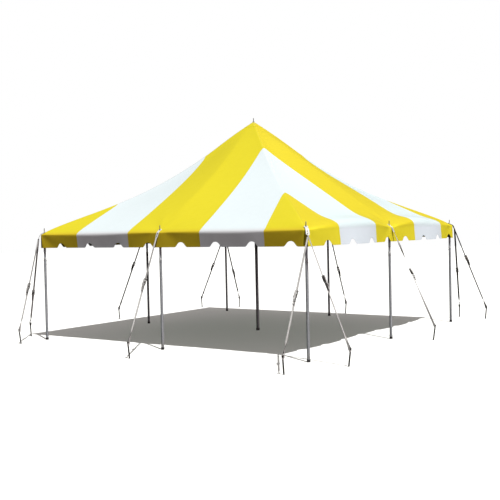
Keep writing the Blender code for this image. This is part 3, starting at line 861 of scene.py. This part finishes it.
def makePeakPatch():
    s = peakPatch
    bm = bmesh.new()
    shareLayer = bm.verts.layers.float.new("share")
    hemLayer = bm.verts.layers.float.new("fromHem")
    chain = []
    for i in range(s["stations"] + 1):
        chain.append(bm.verts.new((0, 0, 0)))
        chain[-1][shareLayer] = 2 * i / s["stations"] - 1

    def settle(verts, out):
        for vert in verts:
            share = vert[shareLayer]
            along, reach = roundCorner(share * out, out, min(canopy["roofCorner"], 0.3 * out))
            vert.co = (along, -reach, roofHeight(out, share) + s["lift"])
            vert[hemLayer] = 1.0

    hole = canopy["hole"]
    growRows(bm, chain, [hole + (s["half"] - hole) * row / s["rows"] for row in range(s["rows"] + 1)], settle)
    bmesh.ops.spin(bm, geom=bm.verts[:] + bm.edges[:] + bm.faces[:], cent=(0, 0, 0), axis=(0, 0, 1),
                   angle=1.5 * math.pi, steps=3, use_duplicate=True)
    faceUp(bm)
    return keepCloth("peakPatch", bm, ["crown_patch"], s["thickness"], 1)[0]


peakPiece = makePeakPatch()

sidePole = {
    "foot": 0.0300, "footHeight": 0.045, "tube": 0.0254, "inner": 0.0222,
    "joint": 1.650, "collar": 0.0285, "collarHeight": 0.030,
    "cap": 0.0280, "capSkirt": 0.036, "pin": 0.008, "top": 2.240, "steps": 32,
    "lockHeight": 1.585, "lockRadius": 0.0045, "lockHalf": 0.036, "wire": 0.0018, "bail": 0.035,
}
# which way each locking pin points, in degrees from +X, and whether its wire is shut round the tube
lockPins = {
    "front_right": (-20, True), "right": (-40, True), "back_right": (200, True), "back": (20, True),
    "back_left": (100, True), "left": (-60, True), "front_left": (28, False), "front": (-65, True),
}
pinCloth = roofHeight(eaveEdge, 0) + eaveFall * tent["overhang"]     # height of the cloth at a pin


def footProfile(s):
    # a rubber foot with a groove round it
    foot, groove, high = s["foot"], s["foot"] - 0.001, s["footHeight"]
    return [(0, 0), (foot - 0.003, 0), (foot, 0.003), (foot, 0.012), (groove, 0.014), (groove, 0.020),
            (foot, 0.022), (foot, high - 0.004), (foot - 0.002, high - 0.001), (s["tube"] + 0.0004, high),
            (0, high)]


def capProfile(s, neck, dome):
    # a skirt over the tube, a dome and the pin on it
    cap, pin, top, skirt = s["cap"], sidePole["pin"], s["top"], dome - sidePole["capSkirt"]
    profile = [(0, skirt - 0.006), (neck, skirt - 0.006), (cap - 0.001, skirt - 0.001), (cap, skirt + 0.002),
               (cap, dome - 0.004)]
    arc = math.acos(pin / cap)
    for i in range(7):
        profile.append((cap * math.cos(arc * i / 6), dome + cap * math.sin(arc * i / 6)))
    return profile + [(pin, top - 0.015), (pin - 0.001, top - 0.010), (0.0045, top - 0.002), (0.0028, top),
                      (0, top)]


def sidePoleMesh():
    s, steps = sidePole, sidePole["steps"]
    wide, narrow, collar, joint = s["tube"], s["inner"], s["collar"], s["joint"]
    dome = pinCloth - 0.0025 - (s["cap"] + 0.0005) * math.hypot(1, eaveFall)
    skirt = dome - s["capSkirt"]
    low = joint - s["collarHeight"] - 0.004
    outer = [(0, 0.040), (wide, 0.040), (wide, 0.4), (wide, 0.8), (wide, 1.2), (wide, joint - 0.004),
             (wide - 0.001, joint - 0.003), (0, joint - 0.003)]
    inner = [(0, joint - 0.01), (narrow, joint - 0.01), (narrow, joint + 0.2), (narrow, skirt), (0, skirt)]
    ring = [(wide + 0.0003, low), (collar - 0.0008, low), (collar, low + 0.0008), (collar, joint - 0.002),
            (collar - 0.002, joint), (narrow + 0.0024, joint), (narrow + 0.0004, joint - 0.0015)]
    cap = capProfile(s, narrow + 0.0015, dome)
    parts = [turned(footProfile(s), steps, slot=1), turned(outer, steps), turned(inner, steps),
             turned(cap, steps, slot=2), turned(ring, steps, slot=3, closed=True)]
    return toMesh(join(parts), "side_pole")


def lockPinMesh(shut):
    # a pin through both tubes, with a sprung wire from its head
    s = sidePole
    z, half, r = s["lockHeight"], s["lockHalf"], s["lockRadius"]
    shank = [(0, -half), (r - 0.0015, -half), (r, -half + 0.003), (r, half - 0.010),
             (r + 0.0035, half - 0.0095), (r + 0.0042, half - 0.006), (r + 0.0035, half - 0.002), (r, half),
             (0, half)]
    around = []
    for i in range(25):
        angle = math.pi * i / 24
        if shut:
            x, y = s["bail"] * math.cos(angle) - 0.003, -s["bail"] * math.sin(angle) * 1.05
            around.append(Vector((x, y, z - 0.004 * math.sin(angle))))
        else:
            x, y = half - 0.004 + 0.010 * math.sin(angle), 0.022 * math.sin(2 * angle) * 0.6
            around.append(Vector((x, y, z - 0.085 * (1 - math.cos(angle)) / 2)))
    side = Vector((0, 0, 1)) if shut else Vector((1, 0.2, 0)).normalized()
    wire = swept(roundOutline(s["wire"], 8), around, [side] * len(around))
    return toMesh(join([turned(shank, 16, Matrix.Translation((0, 0, z)) @ alongX), wire]), "lock_pin")


def makeSidePoles():
    mesh = sidePoleMesh()
    pins = {shut: lockPinMesh(shut) for shut in (True, False)}
    for name, (x, y) in poleSpots.items():
        spot = Matrix.Translation((x * tent["halfSide"], y * tent["halfSide"], 0))
        keepPiece(f"{name}_sidePole", copied(mesh, spot), [tube, rubber, zinc, paleRing],
                  [f"{name}_pole"], 40)
        turn, shut = lockPins[name]
        place = spot @ Matrix.Rotation(math.radians(turn), 4, "Z")
        keepPiece(f"{name}_lockPin", copied(pins[shut], place), [zinc])


centrePole = {
    "foot": 0.0370, "footHeight": 0.045, "tube": 0.0318, "neck": 0.0275, "neckLength": 0.150,
    "joint": 2.200, "cap": 0.037, "top": 4.447, "steps": 36, "lockHeight": 2.262,
}


def makeCentrePole():
    s, steps, pin = centrePole, centrePole["steps"], sidePole["pin"]
    wide, neck, joint = s["tube"], s["neck"], s["joint"]
    fall = roofFall(tent["crownHalf"], tent["crownHalf"])
    dome = tent["peak"] - 0.004 - (s["cap"] + 0.0005) * math.hypot(1, fall)
    skirt = dome - sidePole["capSkirt"]
    lower = [(0, 0.040), (wide, 0.040), (wide, 0.7), (wide, 1.4), (wide, joint - 0.0015),
             (wide - 0.001, joint - 0.0003), (neck, joint - 0.0003), (neck, joint + 0.12),
             (neck - 0.003, joint + s["neckLength"]), (0, joint + s["neckLength"])]
    bore, deep = neck + 0.0006, joint + s["neckLength"] + 0.01
    upper = [(bore, deep), (bore, joint + 0.0004), (wide - 0.001, joint + 0.0004), (wide, joint + 0.0016),
             (wide, 2.9), (wide, 3.6), (wide, skirt), (0, skirt), (0, deep)]
    cap = capProfile(s, wide + 0.001, dome)
    keepPiece("centrePoleLower", join([turned(footProfile(s), steps, slot=1), turned(lower, steps)]),
              [tube, rubber], ["centre_pole_lower"], 40)
    keepPiece("centrePoleUpper", join([turned(upper, steps), turned(cap, steps, slot=1)]),
              [tube, zinc], ["centre_pole_upper"], 40)
    shank = [(0, -0.042), (0.003, -0.042), (0.0045, -0.039), (0.0045, 0.034), (0.008, 0.0345), (0.009, 0.038),
             (0.008, 0.042), (0, 0.042)]
    lie = Matrix.Translation((0, 0, s["lockHeight"])) @ alongX
    keepPiece("centrePoleLockPin", turned(shank, 16, lie), [zinc])
    ring = [(pin + 0.0008, -0.003), (0.018, -0.003), (0.0205, -0.0015), (0.0205, 0.0005), (0.017, 0.003),
            (pin + 0.0008, 0.003)]
    seat = Matrix.Translation((0, 0, roofHeight(canopy["hole"], 0) + 0.0075))
    keepPiece("peakGrommet", turned(ring, 28, seat, closed=True), [zinc])


makeSidePoles()
makeCentrePole()
print("poles turned")

stake = {
    "radius": 0.0127, "top": 0.285, "head": 0.0185, "headHeight": 0.012, "lean": 8.0, "steps": 24,
}
stakeLean = math.radians(stake["lean"])
stakeLength = stake["top"] / math.cos(stakeLean)
stakeAxis = Vector((math.sin(stakeLean), 0, math.cos(stakeLean)))
stakeAway = Vector((math.cos(stakeLean), 0, -math.sin(stakeLean)))


def stakeMesh():
    rod, head, high = stake["radius"], stake["head"], stakeLength
    under = high - stake["headHeight"]
    profile = [(0, -0.02), (rod, -0.02), (rod, 0.10), (rod, under - 0.006), (rod + 0.0008, under - 0.002),
               (head - 0.002, under), (head, under + 0.002), (head, high - 0.005),
               (head - 0.0015, high - 0.002), (head - 0.004, high - 0.0005), (0.006, high), (0, high)]
    bm = turned(profile, stake["steps"], Matrix.Rotation(stakeLean, 4, "Y"))
    bmesh.ops.bisect_plane(bm, geom=bm.verts[:] + bm.edges[:] + bm.faces[:], plane_co=(0, 0, 0),
                           plane_no=(0, 0, -1), clear_outer=True)     # level with the ground
    closeUp(bm, 0)
    return toMesh(bm, "stake")


# X out from the strap, Y across it, Z up it
ratchet = {
    "spool": 0.040, "bolt": -0.053, "plate": 0.0165, "plateThick": 0.0022, "handle": 0.0210,
    "gripX": 0.020, "gripZ": -0.063, "gripRadius": 0.0060, "gripHalf": 0.0255, "roll": 0.0112,
    "gear": 0.01875, "gearRadius": 0.0122, "gearThick": 0.0018, "teeth": 11, "toothRoot": 0.80,
    "widen": 1.26,            # its width over the sizes given across Y
}


def gearMesh(middle):
    # a toothed wheel across Y on the spool
    r = ratchet
    bm = bmesh.new()
    centre = Vector((0, 0, r["spool"]))
    lie = Matrix.Translation((0, middle - r["gearThick"] / 2, r["spool"])) @ acrossY
    bmesh.ops.create_circle(bm, cap_ends=True, segments=2 * r["teeth"], radius=r["gearRadius"], matrix=lie)
    for i, vert in enumerate(bm.faces[:][0].verts):
        if i % 2:
            flat = Vector((0, vert.co.y, 0))
            vert.co = centre + flat + (vert.co - flat - centre) * r["toothRoot"]
    grown = bmesh.ops.extrude_face_region(bm, geom=bm.faces[:], use_keep_orig=True)["geom"]
    bmesh.ops.translate(bm, vec=(0, r["gearThick"], 0), verts=only(BMVert, grown))
    bmesh.ops.recalc_face_normals(bm, faces=bm.faces)
    return bm


def ratchetMesh():
    r = ratchet
    spool, bolt, thick = r["spool"], r["bolt"], r["plateThick"]
    frame = [(0, spool, 0.0130), (0, bolt, 0.0100)]
    handle = [(0.001, spool, 0.0095), (0.0165, -0.040, 0.0075), (r["gripX"], r["gripZ"], 0.0062)]
    parts = []
    for side in (-1, 1):
        parts.append(plateBetween(frame, thick, side * r["plate"]))
        parts.append(plateBetween(handle, thick, side * r["handle"]))
        parts.append(gearMesh(side * r["gear"]))
    parts += [barAcross(spool, 0.0056, 0.0250), barAcross(spool, 0.0080, 0.0236),
              barAcross(bolt, 0.0042, 0.0205), barAcross(bolt, 0.0070, 0.0192, steps=6)]
    radius, half = r["gripRadius"], r["gripHalf"]
    grip = [(0, -half), (0.0048, -half), (radius, -half + 0.0012)]
    for i in range(9):
        z = -0.018 + 0.0045 * i
        grip += [(radius, z - 0.0012), (0.0053, z - 0.0006), (0.0053, z + 0.0006), (radius, z + 0.0012)]
    grip += [(radius, half - 0.0012), (0.0048, half), (0, half)]
    parts.append(turned(grip, 16, Matrix.Translation((r["gripX"], 0, r["gripZ"])) @ acrossY, slot=1))
    parts.append(boxBetween((-0.0100, -0.0156, -0.036), (-0.0080, 0.0156, 0.012)))     # web of the frame
    parts.append(boxBetween((0.0100, -0.0248, -0.016), (0.0120, 0.0248, -0.002)))      # pawl on the handle
    parts.append(boxBetween((0.0045, -0.0190, 0.0175), (0.0062, 0.0190, 0.0270)))      # pawl on the frame
    whole = join(parts)
    whole.transform(Matrix.Diagonal((1, r["widen"], 1, 1)))
    return toMesh(whole, "ratchet")


# X towards the stake from the pole's foot, Z up
guy = {
    "disc": 0.034, "discHole": 0.0096, "discThick": 0.0042, "stackGap": 0.0003,
    "strap": 0.034, "strapThick": 0.0022,
    "tab": 0.052, "tabThick": 0.0030, "tabDown": 0.095, "tabSteep": 66.0, "rivets": 3, "rivetPitch": 0.028,
    "pastEdge": 0.012, "loopDown": 0.040, "loopRise": 0.009, "loopOff": 0.0162, "keeper": 0.110,
    "quarterTurn": 0.16,      # length in which the strap turns edge on to the stake
}
# half turns in a strap above its ratchet, and the length of the quarter turn below
strapTurns = {"right_guy": (1, 0.80)}


def eyePlace(fall, fallTurn, stacked):
    lift = 0.0005 + guy["discThick"] / 2 + stacked * (guy["discThick"] + 2 * guy["stackGap"])
    drop = fall * math.cos(fallTurn)
    run = Vector((1, 0, -drop)).normalized()
    up = Vector((drop, fall * math.sin(fallTurn), 1)).normalized()
    return axesAt(run, up.cross(run), up, (0, 0, pinCloth + lift * math.hypot(1, fall)))


def eyeParts(eye):
    # a white disc round the pin, with a ring in its hole
    disc, hole, half = guy["disc"], guy["discHole"], guy["discThick"] / 2
    plate = [(hole + 0.003, -half), (disc - 0.001, -half), (disc, -half + 0.001), (disc, half - 0.001),
             (disc - 0.001, half), (hole + 0.003, half)]
    ring = [(hole, -half - 0.0006), (hole + 0.0045, -half - 0.0006), (hole + 0.0062, -half + 0.0002),
            (hole + 0.0062, half - 0.0002), (hole + 0.0048, half + 0.0010), (hole + 0.0015, half + 0.0014),
            (hole, half + 0.0006)]
    return [turned(plate, 40, eye, closed=True, slot=2), turned(ring, 32, eye, closed=True, slot=1)]


def rounded(before, knee, after, reach):
    # a bend from one straight run to the next
    a = knee + (before - knee).normalized() * reach
    b = knee + (after - knee).normalized() * reach
    return [a * (1 - t) ** 2 + knee * 2 * t * (1 - t) + b * t ** 2 for t in [i / 6 for i in range(7)]]


def tabParts(eye, out, wide, corner, knee):
    # the plate that hangs from the pin over the eave, and its rivets
    g, bend, start = guy, 0.016, eye @ (out * 0.030)
    hung = (knee - corner).normalized()
    run = [eye @ (out * 0.012), start] + rounded(start, corner, knee, bend)
    run += [corner + hung * (bend + (g["tabDown"] - 0.012) * i / 4) for i in range(1, 5)]
    parts = [swept(bandOutline(g["tab"], g["tabThick"]), run, [wide] * len(run), slot=2)]
    face = hung.cross(wide)
    ring = [(0.0082, -0.0004), (0.0120, -0.0004), (0.0116, 0.0008), (0.0090, 0.0012)]
    stud = [(0, -0.0004), (0.0090, -0.0004), (0.0088, 0.0004), (0, 0.0004)]
    for i in range(g["rivets"]):
        seat = corner + hung * (0.018 + g["rivetPitch"] * i) + face * (g["tabThick"] / 2)
        lie = axesAt(wide, face.cross(wide), face, seat)
        parts += [turned(ring, 16, lie, closed=True, slot=1), turned(stud, 16, lie, slot=3)]
    return parts


def upperStrap(wide, corner, knee, down, toRatchet, ratchetPlace, halfTurns):
    # runs under the plate and turns to its ratchet below
    g, bend = guy, 0.018
    across = ratchetPlace.col[1].xyz
    hung = (knee - corner).normalized()
    under = wide.cross(hung) * (g["tabThick"] / 2 + g["strapThick"] / 2 + 0.0003)
    start = corner + hung * 0.030 + under
    run = [start, start.lerp(knee, 0.5)] + rounded(start, knee, knee + down, bend)
    bent = len(run)
    run += [knee + down * (bend + (toRatchet - bend) * i / 18) for i in range(1, 18)]
    wound = ratchetPlace @ Vector((-0.0095, 0, ratchet["spool"]))
    run += [(knee + down * toRatchet).lerp(wound, 0.3), wound]
    sides = [wide] * 3 + [wide.lerp(across, i / 7) for i in range(1, 7)]
    sides += [across] * (len(run) - len(sides))
    for i in range(bent, len(run)):
        gone = min(1.0, (i - bent + 1) / 16)
        turn = halfTurns * math.pi * (1 - math.cos(math.pi * gone)) / 2
        sides[i] = Matrix.Rotation(turn, 3, down) @ sides[i]
    return swept(bandOutline(g["strap"], g["strapThick"]), run, sides)


def spoolRoll(ratchetPlace):
    # the turns wound on the spool
    half, radius = guy["strap"] / 2 - 0.0012, ratchet["roll"]
    roll = [(0.0050, -half)]
    for i in range(4):
        layer = 0.0064 + 0.0016 * i
        roll += [(layer - 0.0004, -half - 0.0002), (layer + 0.0002, -half + 0.0002)]
    roll += [(radius, -half + 0.0001), (radius + 0.0006, -half + 0.0013), (radius + 0.0006, half - 0.0013),
             (radius, half - 0.0001), (0.0050, half)]
    bm = turned(roll, 28, closed=True)
    weave = bm.verts.layers.float_vector.new("weave")
    for vert in bm.verts:
        vert[weave] = (vert.co.z, math.atan2(vert.co.y, vert.co.x) * radius, 0)
    bm.transform(ratchetPlace @ Matrix.Translation((0, 0, ratchet["spool"])) @ acrossY)
    return bm


def lowerStrap(ratchetPlace, loopCentre, quarter):
    # doubled from the bolt to the keeper, turning a quarter near its end, then open round the stake
    g, thick = guy, guy["strapThick"]
    out, across = ratchetPlace.col[0].xyz, ratchetPlace.col[1].xyz
    flat = Vector((0, 1, 0))
    bolt = ratchetPlace @ Vector((0, 0, ratchet["bolt"]))
    line = (loopCentre - bolt).normalized()
    lower = (loopCentre - bolt).length - g["keeper"]
    keeper = bolt + line * lower
    around, gap = stake["radius"] + thick / 2 + 0.0004, thick / 2 + 0.0003

    def leg(sign):
        # bolt to stake, on one face of the doubled strap
        spots = [(bolt + out * sign * 0.0056, across)]
        plain = lower - quarter
        runs = [plain * i / 6 for i in range(1, 7)] + [plain + quarter * i / 8 for i in range(1, 9)]
        for gone in runs:
            turn = math.pi / 4 * (1 - math.cos(math.pi * max(0.0, gone - plain) / quarter))
            side = across * math.cos(turn) + out * math.sin(turn)
            face = out * math.cos(turn) - across * math.sin(turn)
            spots.append((bolt + line * gone + face * sign * gap, side))
        for t in (0.25, 0.5, 0.75):
            wide = gap + (around + 0.004 - gap) * math.sin(math.pi / 2 * min(1.0, t * 1.15))
            side = out.lerp(stakeAxis, t).normalized()
            spots.append((keeper.lerp(loopCentre, t) - flat * sign * wide, side))
        for degrees in (0, 30, 60):
            angle = math.radians(degrees)
            ring = stakeAway * math.sin(angle) - flat * sign * math.cos(angle)
            spots.append((loopCentre + ring * around - stakeAxis * 0.004 * math.sin(angle), stakeAxis))
        return spots

    spots = leg(1) + [(loopCentre + stakeAway * around - stakeAxis * 0.004, stakeAxis)] + leg(-1)[::-1]
    points, sides = [smoothed([spot[i] for spot in spots], 4) for i in (0, 1)]
    loop = swept(bandOutline(g["strap"] - 0.001, thick), points, sides)
    wraps = [keeper - line * 0.014, keeper + line * 0.014]
    wrap = swept(bandOutline(g["strap"] + 0.0022, 3.2 * thick), wraps, [out, out])
    seams = [bolt + line * 0.030, bolt + line * 0.062]
    seam = swept(bandOutline(g["strap"] + 0.0006, 2.6 * thick), seams, [across, across])
    return [loop, wrap, seam]


def tailParts(ratchetPlace, folds, dangle):
    # the spare strap, folded up and tied against the guy below the ratchet
    spots = [(0.0115, 0.040), (0.0140, 0.050), (0.0215, 0.056), (0.0300, 0.048), (0.0335, 0.020),
             (0.0330, -0.030), (0.0300, -0.075)]
    low, high, step = -0.185, -0.085, 0.0055
    for i in range(folds):
        x, rise = 0.016 + step * i, 0.008 * (i % 3)
        spots += [(x, high - 0.006 * (i % 2)), (x - 0.001, (low + high) / 2), (x, low + rise),
                  (x + 0.0028, low - 0.006 + rise), (x + 0.0045, low + 0.004),
                  (x + 0.0035, (low + high) / 2), (x + 0.0050, high)]
    spots += [(0.020 + step * folds, high + 0.010), (0.030 + step * folds, high - 0.020 - dangle)]
    points = [ratchetPlace @ point for point in smoothed([Vector((x, 0, z)) for x, z in spots], 4)]
    across = ratchetPlace.col[1].xyz
    tail = swept(bandOutline(guy["strap"] - 0.0012, 0.0018), points, [across] * len(points))
    depth = 0.0058 + 0.0050 * folds
    band = [ratchetPlace @ Vector((0.0085 + depth / 2, 0, z)) for z in (-0.142, -0.128)]
    tie = swept(bandOutline(guy["strap"] + 0.0026, depth + 0.020), band, [across, across])
    return [tail, tie]


def makeGuy(name, spot, stakeSpot, share, stacked):
    g = guy
    foot = Vector(spot) * tent["halfSide"]
    run = Vector(stakeSpot) - foot
    turn = math.atan2(run.y, run.x)
    # the plate hangs straight out over the eave
    swing = math.remainder(math.atan2(spot[1], spot[0]) - turn, 2 * math.pi)
    out = Vector((math.cos(swing), math.sin(swing), 0))
    wide = Vector((-math.sin(swing), math.cos(swing), 0))
    oblique = math.hypot(*spot)
    eye = eyePlace(eaveFall / oblique, swing, stacked)
    corner = eye @ (out * (tent["overhang"] * min(1.25, oblique) + g["pastEdge"]))
    steep = math.radians(g["tabSteep"])
    knee = corner + (out * math.cos(steep) - Vector((0, 0, math.sin(steep)))) * g["tabDown"]

    # the strap's line from the knee to the loop round the stake, and the ratchet on it
    loopCentre = Vector((run.length, 0, 0)) + stakeAxis * (stakeLength - g["loopDown"])
    end = loopCentre + stakeAxis * g["loopRise"] - stakeAway * g["loopOff"]
    down = (end - knee).normalized()
    level = Vector((-down.y, down.x, 0)).normalized()
    ratchetPlace = axesAt(level.cross(-down), level, -down, knee.lerp(end, share))
    toRatchet = (end - knee).length * share - 0.052
    halfTurns, quarter = strapTurns.get(name, (0, g["quarterTurn"]))

    parts = tabParts(eye, out, wide, corner, knee)
    parts.append(upperStrap(wide, corner, knee, down, toRatchet, ratchetPlace, halfTurns))
    parts.append(spoolRoll(ratchetPlace))
    parts += lowerStrap(ratchetPlace, loopCentre, quarter)
    parts += eyeParts(eye) + tailParts(ratchetPlace, 2 + stacked, 0.02 * share)
    webs = join(parts)
    world = Matrix.Translation((foot.x, foot.y, 0)) @ Matrix.Rotation(turn, 4, "Z")
    webs.transform(world)
    keepPiece(f"{name}_webbing", webs, [woven, zinc, patchVinyl, rubber], [name], 40)
    keepPiece(f"{name}_ratchet", copied(ratchetShape, world @ ratchetPlace), [zinc, rubber],
              sharp=40)
    return turn


ratchetShape = ratchetMesh()
stakeShape = stakeMesh()
for pole, guys in guySpots.items():
    for number, (stakeSpot, share) in enumerate(guys):
        suffix = f"_{number + 1}" if len(guys) > 1 else ""
        turn = makeGuy(f"{pole}_guy{suffix}", poleSpots[pole], stakeSpot, share, number)
        place = Matrix.Translation((*stakeSpot, 0)) @ Matrix.Rotation(turn, 4, "Z")
        keepPiece(f"{pole}_groundStake{suffix}", copied(stakeShape, place), [iron],
                  [f"{pole}_stake{suffix}"], 40)
print("guys and stakes set")


studio = {
    "floor": 60.0,
    "floorDown": 0.002,
    "floorColour": (0.86, 0.87, 0.86),
    "floorGlow": 0.118,
    "glowColour": (0.93, 1.08, 0.96),
    "sunPower": 4.7,
    "sunColour": (1.0, 0.99, 0.97),
    "sunElevation": 61.0,
    "sunAzimuth": -30.0,        # from +X, towards the front
    "sunSize": 0.7,
    "skyTop": 0.30,
    "skyLow": 0.050,
    "sideGlow": 3.20,           # a soft light low on the right
    "skyColour": (1.0, 0.83, 0.85),
    "backdrop": 1.0,
}


def makeStage():
    s = studio
    bm = bmesh.new()
    bmesh.ops.create_grid(bm, x_segments=2, y_segments=2, size=s["floor"],
                          matrix=Matrix.Translation((0, 0, -s["floorDown"])))
    mesh = toMesh(bm, "floor")
    floor = bpy.data.objects.new("floor", mesh)
    bpy.context.scene.collection.objects.link(floor)
    floor.visible_diffuse = False
    floor.visible_glossy = False
    material, shader, _ = startMaterial("pale_floor", Roughness=0.9, Emission_Strength=s["floorGlow"])
    shader.inputs["Base Color"].default_value = (*s["floorColour"], 1)
    shader.inputs["Emission Color"].default_value = (*s["glowColour"], 1)
    mesh.materials.append(material)

    sunData = bpy.data.lights.new("sun", "SUN")
    sunData.energy = s["sunPower"]
    sunData.angle = math.radians(s["sunSize"])
    sunData.color = s["sunColour"]
    sun = bpy.data.objects.new("sun", sunData)
    lift, side = math.radians(s["sunElevation"]), math.radians(s["sunAzimuth"])
    towards = Vector((math.cos(lift) * math.cos(side), math.cos(lift) * math.sin(side), math.sin(lift)))
    sun.rotation_mode = "QUATERNION"
    sun.rotation_quaternion = towards.to_track_quat("Z", "Y")
    bpy.context.scene.collection.objects.link(sun)

    world = bpy.data.worlds.new("studio")
    world.use_nodes = True
    bpy.context.scene.world = world
    start = Link(world.node_tree)
    toRight, _, above = start.node("TexCoord", output="Generated").split()
    glow = above.rise(0.0, 1.0) * (s["skyTop"] - s["skyLow"]) + s["skyLow"]
    beside = toRight.rise(0.65, 1.0) * above.rise(-0.05, 0.10) * (1 - above.rise(0.20, 0.50))
    glow = glow + beside * s["sideGlow"]
    seen = start.node("LightPath", output="Is Camera Ray")
    strength = seen * (s["backdrop"] - glow) + glow
    back = world.node_tree.nodes["Background"]
    world.node_tree.links.new(seen.tint(s["skyColour"], (1, 1, 1)).socket, back.inputs["Color"])
    world.node_tree.links.new(strength.socket, back.inputs["Strength"])
    bpy.context.scene.view_settings.view_transform = "Standard"


makeStage()
print("stage lit")
